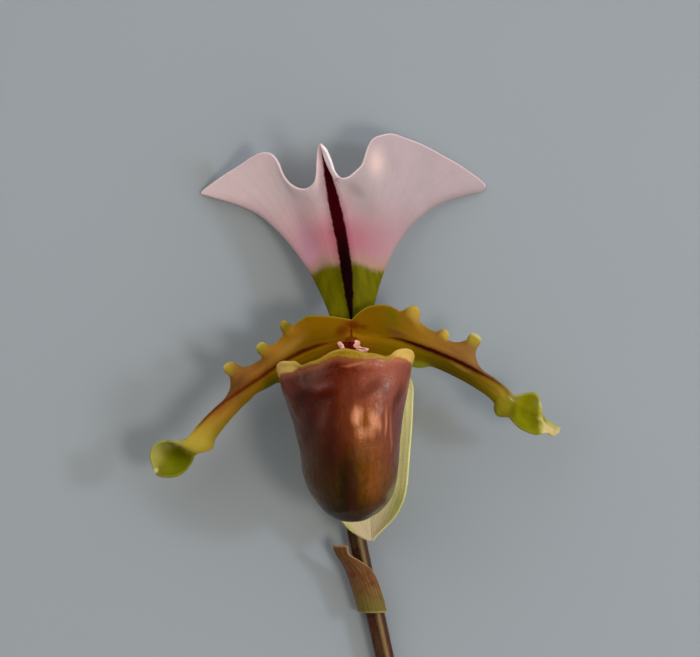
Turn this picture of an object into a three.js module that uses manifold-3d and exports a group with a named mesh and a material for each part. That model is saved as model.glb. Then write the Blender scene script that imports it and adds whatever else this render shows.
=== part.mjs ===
// A slipper-orchid bloom (Paphiopedilum), cut with its ovary, bract and a short stalk, lying on its back.
//
// Units are millimetres and +Z is up from the surface that the bloom lies on. The bloom faces +Z and its
// dorsal sepal points along +Y. The origin is the flat spot on the ovary's underside that touches the surface.
// Sepals, petals, pouch and column are modelled about the heart, the point where they all meet the ovary.
import * as THREE from 'three';
import { mergeVertices } from 'three/addons/utils/BufferGeometryUtils.js';
import Module from 'manifold-3d';

const wasm = await Module();
wasm.setup();

// Driving dimensions.
const HEART = [0, 14, 11.5]; // place of the heart above the resting spot
const BLADE = 0.7; // thickness of a sepal, a petal or the bract
const POUCH_WALL = 0.8;
const SHIELD_WALL = 0.6; // thickness of the staminode
const GAP = 0.3; // clearance between neighbouring organs
const COLUMN_RADIUS = 1.5;
const COLUMN_Y = -1.5; // the column stands just below the heart's centre
const RECEPTACLE_Z = -2.2; // top of the ovary, from the heart
const SOCKET_HEIGHT = 7; // of the room round the column
const FAR = 200; // larger than the whole bloom

// How finely each organ is divided.
const DORSAL_STEPS = { widestFan: 0.07, along: 12 };
const PETAL_STEPS = { across: 6, widestAlong: 0.035, lowerFrom: 0.66 };
const SYNSEPALUM_STEPS = { across: 10, along: 14 };
const POUCH_SIDES = 40;
const SHIELD_STEPS = 8;
const BRACT_STEPS = { across: 8, along: 8 };
const OVARY_STEPS = { rings: 22, sides: 18 };
const STALK_STEPS = { rings: 8, sides: 12 };
const SOCKET_SIDES = 20;

// ---------------------------------------------------------------------------------------------- helpers

const { cos, sin, abs, sign, PI } = Math;
const { clamp, lerp, degToRad } = THREE.MathUtils;

// Smooth curve through rows of [station, value, ...], read at one station.
function profile(rows, at) {
  const last = rows.length - 1;
  let i = 0;
  while (i < last - 1 && at > rows[i + 1][0]) i += 1;
  const span = rows[i + 1][0] - rows[i][0];
  const t = clamp((at - rows[i][0]) / span, 0, 1);
  const slope = (k, c) => {
    const before = rows[Math.max(k - 1, 0)];
    const after = rows[Math.min(k + 1, last)];
    return ((after[c] - before[c]) / (after[0] - before[0])) * span;
  };
  return rows[0].slice(1).map((_, column) => {
    const c = column + 1;
    const [a, b] = [rows[i][c], rows[i + 1][c]];
    const [da, db] = [slope(i, c), slope(i + 1, c)];
    return a + t * (da + t * (3 * (b - a) - 2 * da - db + t * (2 * (a - b) + da + db)));
  });
}

const point = (rows, at) => new THREE.Vector3(...profile(rows, at));
const value = (rows, at) => profile(rows, at)[0];

// Unit normal of surface(u, v) by differences; the step is far below the size of any wave.
function normalAt(surface, u, v) {
  const step = 1e-3;
  const du = surface(u + step, v).sub(surface(u - step, v));
  const dv = surface(u, v + step).sub(surface(u, v - step));
  return du.cross(dv).normalize();
}

// Indexed geometry with coincident vertices merged and the collapsed triangles left out.
function welded(points, triangles) {
  const geometry = new THREE.BufferGeometry().setFromPoints(points);
  geometry.setIndex(triangles.flat());
  const merged = mergeVertices(geometry, 1e-4);
  const kept = [];
  for (let i = 0; i < merged.index.count; i += 3) {
    const [a, b, c] = [0, 1, 2].map((k) => merged.index.getX(i + k));
    if (a !== b && b !== c && c !== a) kept.push(a, b, c);
  }
  merged.setIndex(kept);
  return merged;
}

// Evenly spaced stations from 0 to 1.
const steps = (count) => Array.from({ length: count + 1 }, (_, i) => i / count);

// Every station of the given rows, with more between them so that no step is longer than widest.
function stationsOf(rows, widest) {
  const marks = [...new Set(rows.map((row) => row[0]))].sort((a, b) => a - b);
  return marks.flatMap((mark, i) => {
    if (i === marks.length - 1) return [mark];
    const parts = Math.ceil((marks[i + 1] - mark) / widest - 1e-6);
    return Array.from({ length: parts }, (_, k) => lerp(mark, marks[i + 1], k / parts));
  });
}

// Thin closed solid, half its thickness each side of surface(u, v), at the given stations of u and v.
// Both faces are split alike. With poleNormal, u runs round a pouch and v ends at its pole.
function sheet(surface, us, vs, thickness, poleNormal = null) {
  const closed = poleNormal !== null;
  const across = us.length - 1;
  const along = vs.length - 1;
  const columns = closed ? across : across + 1;
  const faces = [[], []];
  for (let i = 0; i < columns; i += 1) {
    for (let j = 0; j <= along; j += 1) {
      const normal = closed && j === along ? poleNormal : normalAt(surface, us[i], vs[j]);
      const middle = surface(us[i], vs[j]);
      faces[0].push(middle.clone().addScaledVector(normal, thickness / 2));
      faces[1].push(middle.clone().addScaledVector(normal, -thickness / 2));
    }
  }
  const at = (side, i, j) => side * faces[0].length + (i % columns) * (along + 1) + j;
  const triangles = [];
  const quad = (a, b, c, d) => triangles.push([a, b, c], [a, c, d]);
  for (let i = 0; i < across; i += 1) {
    for (let j = 0; j < along; j += 1) {
      quad(at(0, i, j), at(0, i + 1, j), at(0, i + 1, j + 1), at(0, i, j + 1));
      triangles.push([at(1, i, j), at(1, i + 1, j + 1), at(1, i + 1, j)]);
      triangles.push([at(1, i, j), at(1, i, j + 1), at(1, i + 1, j + 1)]);
    }
  }
  for (let i = 0; i < across; i += 1) {
    quad(at(0, i, 0), at(1, i, 0), at(1, i + 1, 0), at(0, i + 1, 0));
    if (!closed) quad(at(0, i + 1, along), at(1, i + 1, along), at(1, i, along), at(0, i, along));
  }
  for (let j = 0; j < along && !closed; j += 1) {
    quad(at(0, 0, j + 1), at(1, 0, j + 1), at(1, 0, j), at(0, 0, j));
    quad(at(0, across, j), at(1, across, j), at(1, across, j + 1), at(0, across, j + 1));
  }
  return welded([...faces[0], ...faces[1]], triangles);
}

// Solid stalk on a curve: radius(along) is its size, and ribs are ridges of a relative height.
function stalk(curve, rings, sides, radius, ribs = { height: 0, count: 0 }) {
  const frames = curve.computeFrenetFrames(rings, false);
  const points = [];
  for (let i = 0; i <= rings; i += 1) {
    const centre = curve.getPointAt(i / rings);
    for (let k = 0; k < sides; k += 1) {
      const angle = (2 * PI * k) / sides;
      const size = radius(i / rings) * (1 + ribs.height * cos(ribs.count * angle));
      points.push(
        centre
          .clone()
          .addScaledVector(frames.normals[i], size * cos(angle))
          .addScaledVector(frames.binormals[i], size * sin(angle)),
      );
    }
  }
  const first = points.push(curve.getPointAt(0)) - 1;
  const last = points.push(curve.getPointAt(1)) - 1;
  const triangles = [];
  for (let k = 0; k < sides; k += 1) {
    const next = (k + 1) % sides;
    triangles.push([first, next, k], [last, rings * sides + k, rings * sides + next]);
    for (let i = 0; i < rings; i += 1) {
      const [a, b] = [i * sides, (i + 1) * sides];
      triangles.push([a + k, a + next, b + next], [a + k, b + next, b + k]);
    }
  }
  return welded(points, triangles);
}

function toSolid(geometry) {
  const made = new wasm.Manifold(
    new wasm.Mesh({
      numProp: 3,
      vertProperties: new Float32Array(geometry.attributes.position.array),
      triVerts: new Uint32Array(geometry.index.array),
    }),
  );
  return made.volume() < 0 ? toSolid(flipped(geometry)) : made;
}

function flipped(geometry) {
  const index = geometry.index.array;
  const turned = [];
  for (let i = 0; i < index.length; i += 3) turned.push(index[i], index[i + 2], index[i + 1]);
  return geometry.clone().setIndex(turned);
}

function toGeometry(solid) {
  const mesh = solid.getMesh();
  return new THREE.BufferGeometry()
    .setAttribute('position', new THREE.BufferAttribute(mesh.vertProperties, 3))
    .setIndex(new THREE.BufferAttribute(mesh.triVerts, 1));
}

const plain = (geometry) => {
  geometry.deleteAttribute('normal');
  geometry.deleteAttribute('uv');
  return toSolid(mergeVertices(geometry, 1e-4));
};

// Everything at or above one height, as the surface under the bloom leaves it.
function above(height) {
  return plain(new THREE.BoxGeometry(FAR, FAR, FAR).translate(0, 0, FAR / 2 + height));
}

// Room round the column that sepals, petals and the pouch's claw leave free.
const socket = plain(
  new THREE.CylinderGeometry(COLUMN_RADIUS + GAP, COLUMN_RADIUS + GAP, SOCKET_HEIGHT, SOCKET_SIDES)
    .rotateX(PI / 2)
    .translate(0, COLUMN_Y, 0),
);

const clearOfColumn = (geometry) => toSolid(geometry).subtract(socket);
const largest = (solid) => solid.decompose().sort((a, b) => b.volume() - a.volume())[0];

// ------------------------------------------------------------------------------------------ dorsal sepal

// The sepal is a fan of veins. Each is a cubic Bezier from its foot by the ovary to the top margin, and
// the rows say how foot, both handles and end move from the left fold (-1) over the midrib (0) to the right.
const VEIN_FOOT = [
  [-1, -2.6, 2.6, -4],
  [-0.86, -3.7, 2.4, -2.2],
  [0, -0.1, 2.2, -1.5],
  [0.86, 3.4, 2.4, -2.2],
  [1, 3.5, 2.6, -3.5],
];
const VEIN_RISE = [
  [-1, -3.4, 12.5, -6.6],
  [-0.86, -6, 13, -4.2],
  [-0.5, -3.9, 12.5, -2],
  [0, -0.9, 12, -0.8],
  [0.42, 2.7, 13, -2],
  [0.86, 5.2, 14.3, -4.2],
  [1, 3.6, 13.8, -6.6],
];
const VEIN_REACH = [
  [-1, -12, 23.5, -10],
  [-0.86, -14.2, 23, -8],
  [-0.7, -13.9, 25.2, -6],
  [-0.53, -13, 26.4, -4.2],
  [-0.44, -11.6, 25, -2.9],
  [-0.35, -9.7, 22.8, -1.5],
  [-0.24, -7, 21.6, -0.2],
  [-0.12, -4.6, 23, 0.9],
  [0, -2.4, 25, 1.6],
  [0.1, -2.2, 24.3, 1.8],
  [0.18, -1.2, 22.8, 1.4],
  [0.28, 1.4, 23.6, 0.7],
  [0.4, 4.2, 26.2, -0.6],
  [0.6, 8.6, 27.4, -3.6],
  [0.86, 11, 24.7, -7.8],
  [1, 9.4, 24.5, -10],
];
const TOP_MARGIN = [
  [-1, -26.5, 25.7, -11.7],
  [-0.93, -27.3, 25.9, -11.4],
  [-0.86, -27.4, 26.3, -11.2],
  [-0.78, -24.1, 28.7, -9.4],
  [-0.68, -20.3, 31, -7.4],
  [-0.6, -18.1, 32.4, -5.8],
  [-0.53, -16.1, 33.1, -4.2],
  [-0.48, -14.6, 32.8, -3],
  [-0.44, -13.5, 31.5, -2.2],
  [-0.4, -12.6, 29.1, -1.2],
  [-0.35, -11.4, 27.1, -0.2],
  [-0.29, -9.9, 26.1, 0.8],
  [-0.24, -8.6, 25.8, 1.6],
  [-0.2, -7.6, 26.2, 2.2],
  [-0.16, -6.8, 27.3, 2.8],
  [-0.12, -6.5, 29.1, 3.4],
  [-0.07, -6.4, 31.3, 4.2],
  [-0.03, -6.2, 33.4, 4.9],
  [0, -5.7, 34.3, 5.4],
  [0.03, -5.1, 33.9, 5.6],
  [0.06, -4.5, 33.2, 5.6],
  [0.1, -3.7, 31.4, 5.2],
  [0.14, -3, 29.4, 4.4],
  [0.18, -2, 28.3, 3.4],
  [0.22, -0.7, 28.5, 2.6],
  [0.26, 0.7, 29.6, 1.8],
  [0.3, 1.8, 30.8, 1],
  [0.335, 2.4, 32.5, 0.3],
  [0.37, 2.9, 34.1, -0.4],
  [0.4, 3.8, 35.5, -1.1],
  [0.44, 5.4, 36.2, -2],
  [0.49, 7.2, 36.5, -3.2],
  [0.55, 9.3, 35.9, -4.4],
  [0.63, 12.9, 34.6, -6.4],
  [0.71, 16.6, 32.7, -8.2],
  [0.78, 20.2, 30.7, -9.8],
  [0.86, 24.2, 27.7, -11.2],
  [0.93, 23.9, 26.9, -11.5],
  [1, 23, 26.7, -11.8],
];

function dorsalSurface(u, v) {
  const t = 2 * u - 1;
  const [a, b, c, d] = [VEIN_FOOT, VEIN_RISE, VEIN_REACH, TOP_MARGIN].map((rows) => point(rows, t));
  const vein = new THREE.CubicBezierCurve3(a, b, c, d);
  return vein.getPoint(v);
}

function dorsalSepal() {
  const fan = stationsOf(TOP_MARGIN, DORSAL_STEPS.widestFan).map((t) => (t + 1) / 2);
  const whole = sheet(dorsalSurface, fan, steps(DORSAL_STEPS.along), BLADE);
  return toGeometry(largest(clearOfColumn(whole).intersect(above(-HEART[2]))));
}

// ------------------------------------------------------------------------------------------------ petals

// Each half of a petal arches from the midrib to its margin. The upper margins carry small wart-like
// crests, the outer upper half is turned back and the tip is a shallow cup with its own rim.
const LEFT_PETAL = {
  midrib: [
    [0, -0.5, 0.35, 0.9],
    [0.05, -2.2, -0.9, 1.2],
    [0.133, -5.8, -1.8, 1.4],
    [0.22, -9.4, -3.2, 1.5],
    [0.313, -13, -5.2, 1.6],
    [0.41, -16.6, -7.7, 1.6],
    [0.508, -20.2, -10.1, 1.4],
    [0.604, -23.8, -12.5, 1],
    [0.714, -27.4, -15.9, 0.4],
    [0.77, -28.9, -17.9, 0.3],
    [0.825, -30.3, -19.9, 0.6],
    [0.845, -30.8, -20.7, 0.2],
    [0.87, -31.4, -21.5, -0.8],
    [0.91, -32.4, -22.5, -2.1],
    [0.95, -33.8, -23.2, -2.5],
    [0.98, -34.9, -23.9, -2],
    [1, -35.7, -24.8, -1.1],
  ],
  upper: [
    [0, -0.5, 2.9, 0.6],
    [0.05, -2.7, 3.4, 0.9],
    [0.1, -4.9, 3.6, 1.1],
    [0.15, -7.4, 3.7, 1.1],
    [0.172, -8.6, 3.3, 0.9],
    [0.187, -9.4, 2.4, 0.6],
    [0.2, -10.3, 1.7, 0.5],
    [0.208, -11.1, 1.8, 0.7],
    [0.215, -11.8, 2.6, 1.1],
    [0.222, -12.6, 2.3, 1.2],
    [0.229, -12.8, 1.5, 0.9],
    [0.238, -12.3, 0.6, 0.5],
    [0.255, -12.8, -0.4, 0.2],
    [0.285, -14, -1.5, -0.1],
    [0.31, -15.3, -2, 0],
    [0.32, -15.8, -1.4, 0.6],
    [0.328, -16.6, -1.1, 1],
    [0.337, -17.5, -1.8, 1.1],
    [0.346, -17.5, -2.7, 0.8],
    [0.355, -16.6, -3.5, 0.2],
    [0.366, -16.7, -4.2, -0.2],
    [0.39, -17.8, -5, -0.5],
    [0.42, -19.1, -5.5, -0.6],
    [0.44, -20.2, -5.6, -0.4],
    [0.452, -21.1, -5, 0.2],
    [0.463, -22.1, -4.6, 0.8],
    [0.474, -23.4, -5.3, 1],
    [0.484, -23.4, -6.1, 0.7],
    [0.496, -22.3, -6.9, 0],
    [0.52, -21.9, -8.5, -0.8],
    [0.55, -22.3, -9.8, -1.4],
    [0.6, -24.1, -11.9, -2.2],
    [0.66, -26.2, -14.1, -2.4],
    [0.72, -27.9, -16, -1.9],
    [0.78, -30.1, -18.2, -0.8],
    [0.81, -31.4, -18.8, -0.3],
    [0.835, -32.5, -18.9, -0.2],
    [0.87, -33.8, -19, -0.5],
    [0.9, -35.3, -19.4, -1.6],
    [0.93, -36.3, -20.6, -1.9],
    [0.96, -36.5, -22.2, -1.8],
    [0.985, -36.1, -23.6, -1.5],
    [1, -35.9, -24.5, -1.1],
  ],
  lower: [
    [0, -0.5, -1.2, 0.9],
    [0.05, -1.8, -2.9, 0.9],
    [0.133, -5.6, -4.4, 0.6],
    [0.22, -9, -6.3, 0],
    [0.313, -12.4, -8.5, -0.2],
    [0.36, -13.6, -8.7, -0.3],
    [0.41, -15.1, -9.5, -0.4],
    [0.46, -17.1, -10.6, -0.5],
    [0.508, -18.5, -11.5, -0.5],
    [0.56, -20.2, -13.1, -0.5],
    [0.604, -21.6, -14.1, -0.6],
    [0.65, -22.5, -15.2, -0.7],
    [0.714, -23.9, -17.2, -0.8],
    [0.77, -24.8, -18.9, -0.6],
    [0.795, -25.3, -20.5, -0.2],
    [0.81, -26, -21, 0],
    [0.825, -27.2, -21.3, 0.2],
    [0.845, -28.1, -21.8, 0.1],
    [0.87, -28.9, -23.2, -0.9],
    [0.91, -30.2, -24.8, -1.5],
    [0.94, -31.5, -25.6, -1.6],
    [0.965, -33.1, -25.8, -1.5],
    [0.985, -34.5, -25.7, -1.3],
    [1, -35.4, -25.2, -1],
  ],
  arch: [
    [0, 0.3, 0.3],
    [0.1, 0.5, 0.4],
    [0.25, 0.7, 0.7],
    [0.45, 1, 0.8],
    [0.72, 1, 0.9],
    [0.78, 0.3, 0.5],
    [0.81, 0.1, 0.2],
    [0.84, 0, 0],
    [0.87, -0.4, -0.5],
    [0.93, -1, -1],
    [1, 0, 0],
  ],
};

const RIGHT_PETAL = {
  midrib: [
    [0, 0, 0.35, 0.9],
    [0.05, 2.3, -0.3, 1.2],
    [0.105, 4.7, -0.5, 1.4],
    [0.2, 8.6, -1.1, 1.6],
    [0.288, 12.2, -2.3, 1.8],
    [0.377, 15.8, -3.6, 1.8],
    [0.468, 19.4, -5.1, 1.7],
    [0.56, 23, -6.9, 1.4],
    [0.657, 26.8, -9.1, 0.9],
    [0.705, 28.2, -11.1, 0.4],
    [0.757, 29.4, -12.4, -0.6],
    [0.8, 30.6, -13.4, -1.4],
    [0.84, 32.2, -14.1, -1.3],
    [0.865, 33.1, -14.4, -0.6],
    [0.882, 33.7, -14.6, 0],
    [0.897, 34.2, -14.9, -0.2],
    [0.915, 34.8, -15.6, -0.8],
    [0.96, 36, -16.7, -1.1],
    [1, 37.5, -17.2, -1],
  ],
  upper: [
    [0, 0, 2.8, 0.6],
    [0.04, 1.3, 4, 0.8],
    [0.075, 3, 5.1, 1],
    [0.11, 4.6, 5.4, 1.1],
    [0.14, 6.1, 5.4, 1],
    [0.165, 7.4, 5, 0.8],
    [0.185, 8.6, 4.3, 0.6],
    [0.2, 9.4, 4.4, 0.7],
    [0.212, 10.2, 5, 1],
    [0.224, 11.2, 5.4, 1.3],
    [0.236, 12.2, 4.9, 1.4],
    [0.248, 12.2, 3.7, 1.1],
    [0.258, 11.9, 2.8, 0.8],
    [0.275, 12.6, 2.1, 0.5],
    [0.3, 14, 1.1, 0.2],
    [0.325, 15.5, 0.6, 0.1],
    [0.337, 16.3, 1, 0.5],
    [0.348, 17.1, 1.1, 0.9],
    [0.358, 17.7, 0.4, 1],
    [0.368, 17.4, -0.6, 0.5],
    [0.385, 18.2, -1.2, 0.1],
    [0.41, 19.4, -1.3, -0.2],
    [0.432, 20.6, -1, -0.1],
    [0.445, 21.3, -0.6, 0.3],
    [0.455, 21.5, 0.1, 0.7],
    [0.466, 22.1, 0.6, 1.1],
    [0.478, 23.1, 0.1, 1.2],
    [0.489, 23.6, -0.6, 1],
    [0.502, 23, -1.5, 0.4],
    [0.52, 22.5, -2.7, -0.2],
    [0.54, 22.4, -3.9, -0.7],
    [0.56, 22.7, -5, -1.2],
    [0.59, 23.9, -6.3, -1.9],
    [0.63, 25.5, -7.6, -2.1],
    [0.67, 27.2, -8.9, -1.3],
    [0.7, 28.5, -10, -0.5],
    [0.72, 29.3, -10.4, -0.1],
    [0.75, 30.5, -10.3, 0],
    [0.79, 31.9, -9.9, 0.2],
    [0.83, 33.1, -10.1, 0.4],
    [0.86, 33.8, -11, 0.5],
    [0.882, 34, -11.9, 0.4],
    [0.897, 34.3, -13.1, 0.1],
    [0.915, 34.6, -14.1, -0.4],
    [0.94, 35.3, -15, -0.8],
    [0.97, 36.4, -15.8, -1],
    [1, 37.7, -16.7, -0.9],
  ],
  lower: [
    [0, 0, -1.2, 0.9],
    [0.05, 1.9, -2.9, 0.9],
    [0.12, 5.6, -4.4, 0.8],
    [0.2, 8.6, -5.2, 0.4],
    [0.26, 10.8, -5.8, 0],
    [0.31, 12.4, -6, -0.2],
    [0.34, 14, -5.7, -0.3],
    [0.377, 15.3, -6, -0.4],
    [0.42, 17.3, -6.9, -0.5],
    [0.468, 18.9, -7.7, -0.5],
    [0.52, 20.9, -8.8, -0.5],
    [0.58, 23.1, -10.2, -0.4],
    [0.63, 24.8, -11.5, -0.3],
    [0.665, 25.75, -12.7, -0.2],
    [0.675, 25.75, -13.5, -0.1],
    [0.69, 26, -14.4, 0.1],
    [0.705, 26.7, -14.9, 0.3],
    [0.73, 28.2, -15, 0.1],
    [0.76, 29, -15.8, 0.1],
    [0.8, 30.2, -16.9, 0.2],
    [0.84, 31.7, -17.7, 0.3],
    [0.865, 32.9, -18.1, 0.5],
    [0.882, 33.8, -18.1, 0.4],
    [0.897, 34.4, -17.9, 0.1],
    [0.915, 34.9, -17.9, -0.4],
    [0.94, 35.6, -18, -0.8],
    [0.97, 36.3, -18.4, -1],
    [1, 37.3, -17.9, -0.9],
  ],
  arch: [
    [0, 0.3, 0.3],
    [0.1, 0.5, 0.4],
    [0.25, 0.7, 0.7],
    [0.45, 1, 0.8],
    [0.62, 0.8, 0.7],
    [0.7, 0.3, 0.3],
    [0.757, -0.2, -0.3],
    [0.8, -0.6, -0.6],
    [0.85, -0.4, -0.4],
    [0.882, 0.2, 0.2],
    [1, 0, 0],
  ],
};

const ARCH_AT = 0.5; // where between midrib and margin the arch is highest

function petalSurface(shape, u, v) {
  const side = 2 * u - 1; // -1 at the left-hand margin looking out along the petal, 1 at the other
  const share = abs(side);
  const isUpper = side * shape.turn > 0;
  const middle = point(shape.midrib, v);
  const margin = point(isUpper ? shape.upper : shape.lower, v);
  const arch = profile(shape.arch, v)[isUpper ? 0 : 1];
  const handle = middle.clone().lerp(margin, ARCH_AT);
  handle.z += arch;
  return new THREE.QuadraticBezierCurve3(middle, handle, margin).getPoint(share);
}

function petal(rows, turn) {
  const shape = { ...rows, turn };
  const waved = [...rows.upper, ...rows.lower.filter((row) => row[0] > PETAL_STEPS.lowerFrom)];
  const along = stationsOf(waved, PETAL_STEPS.widestAlong);
  const whole = sheet((u, v) => petalSurface(shape, u, v), steps(PETAL_STEPS.across), along, BLADE);
  return toGeometry(largest(clearOfColumn(whole)));
}

// -------------------------------------------------------------------------------------------- synsepalum

// The two lower sepals, grown together into one boat behind the pouch.
const KEEL = [
  [0, 0.1, -2.3, -1],
  [0.12, 0.4, -6.2, -3.4],
  [0.35, 1.3, -14, -6.1],
  [0.6, 2.2, -22.5, -6.4],
  [0.82, 3, -30.5, -5.2],
  [1, 3.6, -37.3, -3],
];
const BOAT_SIDES = [
  [0, 3.4, 3.4, 0.4],
  [0.12, 5.8, 6.8, 0.6],
  [0.3, 8, 9.8, 1.6],
  [0.6, 8.4, 8.6, 2.4],
  [0.78, 7, 6.9, 2.2],
  [0.9, 4.7, 4.3, 1.4],
  [0.97, 2.5, 2, 0.6],
  [1, 0.5, 0.5, 0.1],
];

function synsepalumSurface(u, v) {
  const side = 2 * u - 1;
  const [left, right, depth] = profile(BOAT_SIDES, v);
  const keel = point(KEEL, v);
  keel.x += side * (side < 0 ? left : right);
  keel.z += depth * side * side;
  return keel;
}

function synsepalum() {
  const { across, along } = SYNSEPALUM_STEPS;
  const whole = sheet(synsepalumSurface, steps(across), steps(along), BLADE);
  return toGeometry(largest(clearOfColumn(whole)));
}

// ----------------------------------------------------------------------------------------------- pouch

// Mouth of the pouch, from its front (0) round an ear to the claw at the back (180 degrees): how far out
// from the pouch's middle, how high and how far forward the rim lies.
const POUCH_MIDDLE_X = -1.2;
const MOUTH_TILT = 0.092; // the mouth's right ear is higher than its left one
const TILT_FADES = 0.4; // stations below the mouth by which the rings are level again
const MOUTH = [
  [0, 0, -2.5, 14.2],
  [14, 3, -2.9, 13.9],
  [30, 6, -4.1, 12.9],
  [42, 8, -4.5, 11.6],
  [52, 9.6, -3.8, 10.2],
  [62, 11.4, -3.6, 8.6],
  [73, 12.3, -4.5, 6.8],
  [90, 11.4, -6.6, 4.2],
  [112, 9, -7.9, 2.9],
  [135, 6.2, -6.8, 2.2],
  [155, 4, -5, 2.2],
  [180, 0, -4, 2],
];
// Below the mouth: depth station, middle x, height y, half width, front z and back z.
const POUCH_BODY = [
  [0.22, -1.1, -9.9, 11.2, 14.6, -2.7],
  [0.4, -0.8, -15, 9.8, 14.6, -3.4],
  [0.56, -0.55, -20.5, 9, 13.6, -3.5],
  [0.72, -0.15, -26, 8.2, 11.2, -2.6],
  [0.82, 0, -29.2, 7, 9.4, -1.2],
  [0.9, 0, -31.6, 5, 7.4, 0.2],
  [0.955, 0, -33, 2.9, 5.6, 1.6],
  [0.98, 0, -33.45, 1.6, 4.6, 2.5],
  [1, 0, -33.6, 0, 3.5, 3.5],
];
const POUCH_STATIONS = [
  0, 0.04, 0.09, 0.15, 0.22, 0.31, 0.4, 0.48, 0.56, 0.64, 0.72, 0.8, 0.86, 0.91, 0.955, 0.98, 1,
];
const POUCH_SQUARENESS = 0.9; // power on sine and cosine; 1 is an ellipse
const POUCH_INWARD = new THREE.Vector3(0, 1, 0); // at the pole, into the pouch as the wall's normals are
const BODY_STEP = 0.02; // stations over which the body's own slope is read

const softPower = (x) => sign(x) * abs(x) ** POUCH_SQUARENESS;

function mouthPoint(turn) {
  const degrees = abs((((turn % 1) + 1.5) % 1) - 0.5) * 360;
  const away = ((((turn % 1) + 1) % 1) < 0.5 ? 1 : -1);
  const [out, height, forward] = profile(MOUTH, degrees);
  const x = POUCH_MIDDLE_X + away * out;
  return new THREE.Vector3(x, height + MOUTH_TILT * (x - POUCH_MIDDLE_X), forward);
}

function bodyPoint(turn, v) {
  const [middle, height, halfWidth, front, back] = profile(POUCH_BODY, v);
  const angle = 2 * PI * turn;
  const across = halfWidth * softPower(sin(angle));
  const reach = softPower(cos(angle)) * (front - back) * 0.5;
  const tilt = MOUTH_TILT * Math.max(1 - (v - POUCH_BODY[0][0]) / TILT_FADES, 0);
  return new THREE.Vector3(middle + across, height + tilt * across, (front + back) / 2 + reach);
}

// The wall leaves the rim towards the first body ring and turns into it smoothly.
function pouchSurface(u, v) {
  const start = POUCH_BODY[0][0];
  if (v >= start) return bodyPoint(u, v);
  const t = v / start;
  const rim = mouthPoint(u);
  const ring = bodyPoint(u, start);
  const down = bodyPoint(u, start + BODY_STEP).sub(ring).multiplyScalar(start / BODY_STEP);
  const leave = ring.clone().sub(rim);
  const cubic = (a, b, da, db) =>
    a + t * (da + t * (3 * (b - a) - 2 * da - db + t * (2 * (a - b) + da + db)));
  return new THREE.Vector3(
    cubic(rim.x, ring.x, leave.x, down.x),
    cubic(rim.y, ring.y, leave.y, down.y),
    cubic(rim.z, ring.z, leave.z, down.z),
  );
}

function pouch() {
  const whole = sheet(pouchSurface, steps(POUCH_SIDES), POUCH_STATIONS, POUCH_WALL, POUCH_INWARD);
  return toGeometry(largest(clearOfColumn(whole)));
}

// ------------------------------------------------------------------------------- column and staminode

const COLUMN_PATH = new THREE.CatmullRomCurve3([
  new THREE.Vector3(0, COLUMN_Y, RECEPTACLE_Z + GAP),
  new THREE.Vector3(0, COLUMN_Y, 1),
  new THREE.Vector3(-0.1, COLUMN_Y - 0.4, 3.4),
  new THREE.Vector3(-0.2, COLUMN_Y - 1.4, 5.7),
]);
const COLUMN_GIRTH = [
  [0, COLUMN_RADIUS],
  [0.5, 1.3],
  [1, 0.9],
];
const ANTHER = { radius: 1, out: 1.6, y: -2.6, z: 3, scale: [1, 1.2, 0.9] };
const ANTHER_SIDES = 10;

// A stout stalk with one anther on each flank, ending just behind the staminode.
function column() {
  const { rings, sides } = STALK_STEPS;
  let made = toSolid(stalk(COLUMN_PATH, rings, sides, (s) => value(COLUMN_GIRTH, s)));
  for (const side of [-1, 1]) {
    const anther = new THREE.SphereGeometry(ANTHER.radius, ANTHER_SIDES, ANTHER_SIDES);
    anther.scale(...ANTHER.scale).translate(side * ANTHER.out, ANTHER.y, ANTHER.z);
    made = made.add(plain(anther));
  }
  const seat = toSolid(shield(SHIELD_WALL + 2 * GAP));
  return toGeometry(largest(made.subtract(seat)));
}

// The shield in front of the column, over the pouch's mouth. Each row is a station, the flat half widths
// to the left and the right, and the middle line.
const SHIELD = [
  [0, 1.7, 1.3, -0.3, -1.1, 5.4],
  [0.25, 1.9, 1.7, -0.3, -2, 6.4],
  [0.5, 2.2, 2.5, -0.2, -3.2, 7.4],
  [0.8, 2, 2.1, 0, -4.8, 8.4],
  [1, 1.2, 1.2, 0, -5.9, 8.9],
];
const SHIELD_ACROSS = [0, 0.08, 0.16, 0.24, 0.32, 0.5, 0.68, 0.76, 0.84, 0.92, 1];
const SHIELD_FLAT = 0.36; // share of the half span that is flat; the rest rolls up into a curl
const CURL_RADIUS = 0.5;
const CURL_TURN = degToRad(185);
const CURL_LIFT = { y: 0.55, z: 0.84 }; // direction the curls rise in, square to the shield

function staminodeSurface(u, v) {
  const side = 2 * u - 1;
  const [left, right, x, y, z] = profile(SHIELD, v);
  const flat = side < 0 ? left : right;
  const turn = (Math.max(abs(side) - SHIELD_FLAT, 0) / (1 - SHIELD_FLAT)) * CURL_TURN;
  const out = flat * Math.min(abs(side) / SHIELD_FLAT, 1) + CURL_RADIUS * sin(turn);
  const lift = CURL_RADIUS * (1 - cos(turn));
  return new THREE.Vector3(x + sign(side) * out, y + lift * CURL_LIFT.y, z + lift * CURL_LIFT.z);
}

const shield = (thickness) => sheet(staminodeSurface, SHIELD_ACROSS, steps(SHIELD_STEPS), thickness);

// ------------------------------------------------------------------------------ ovary, bract and stalk

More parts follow.
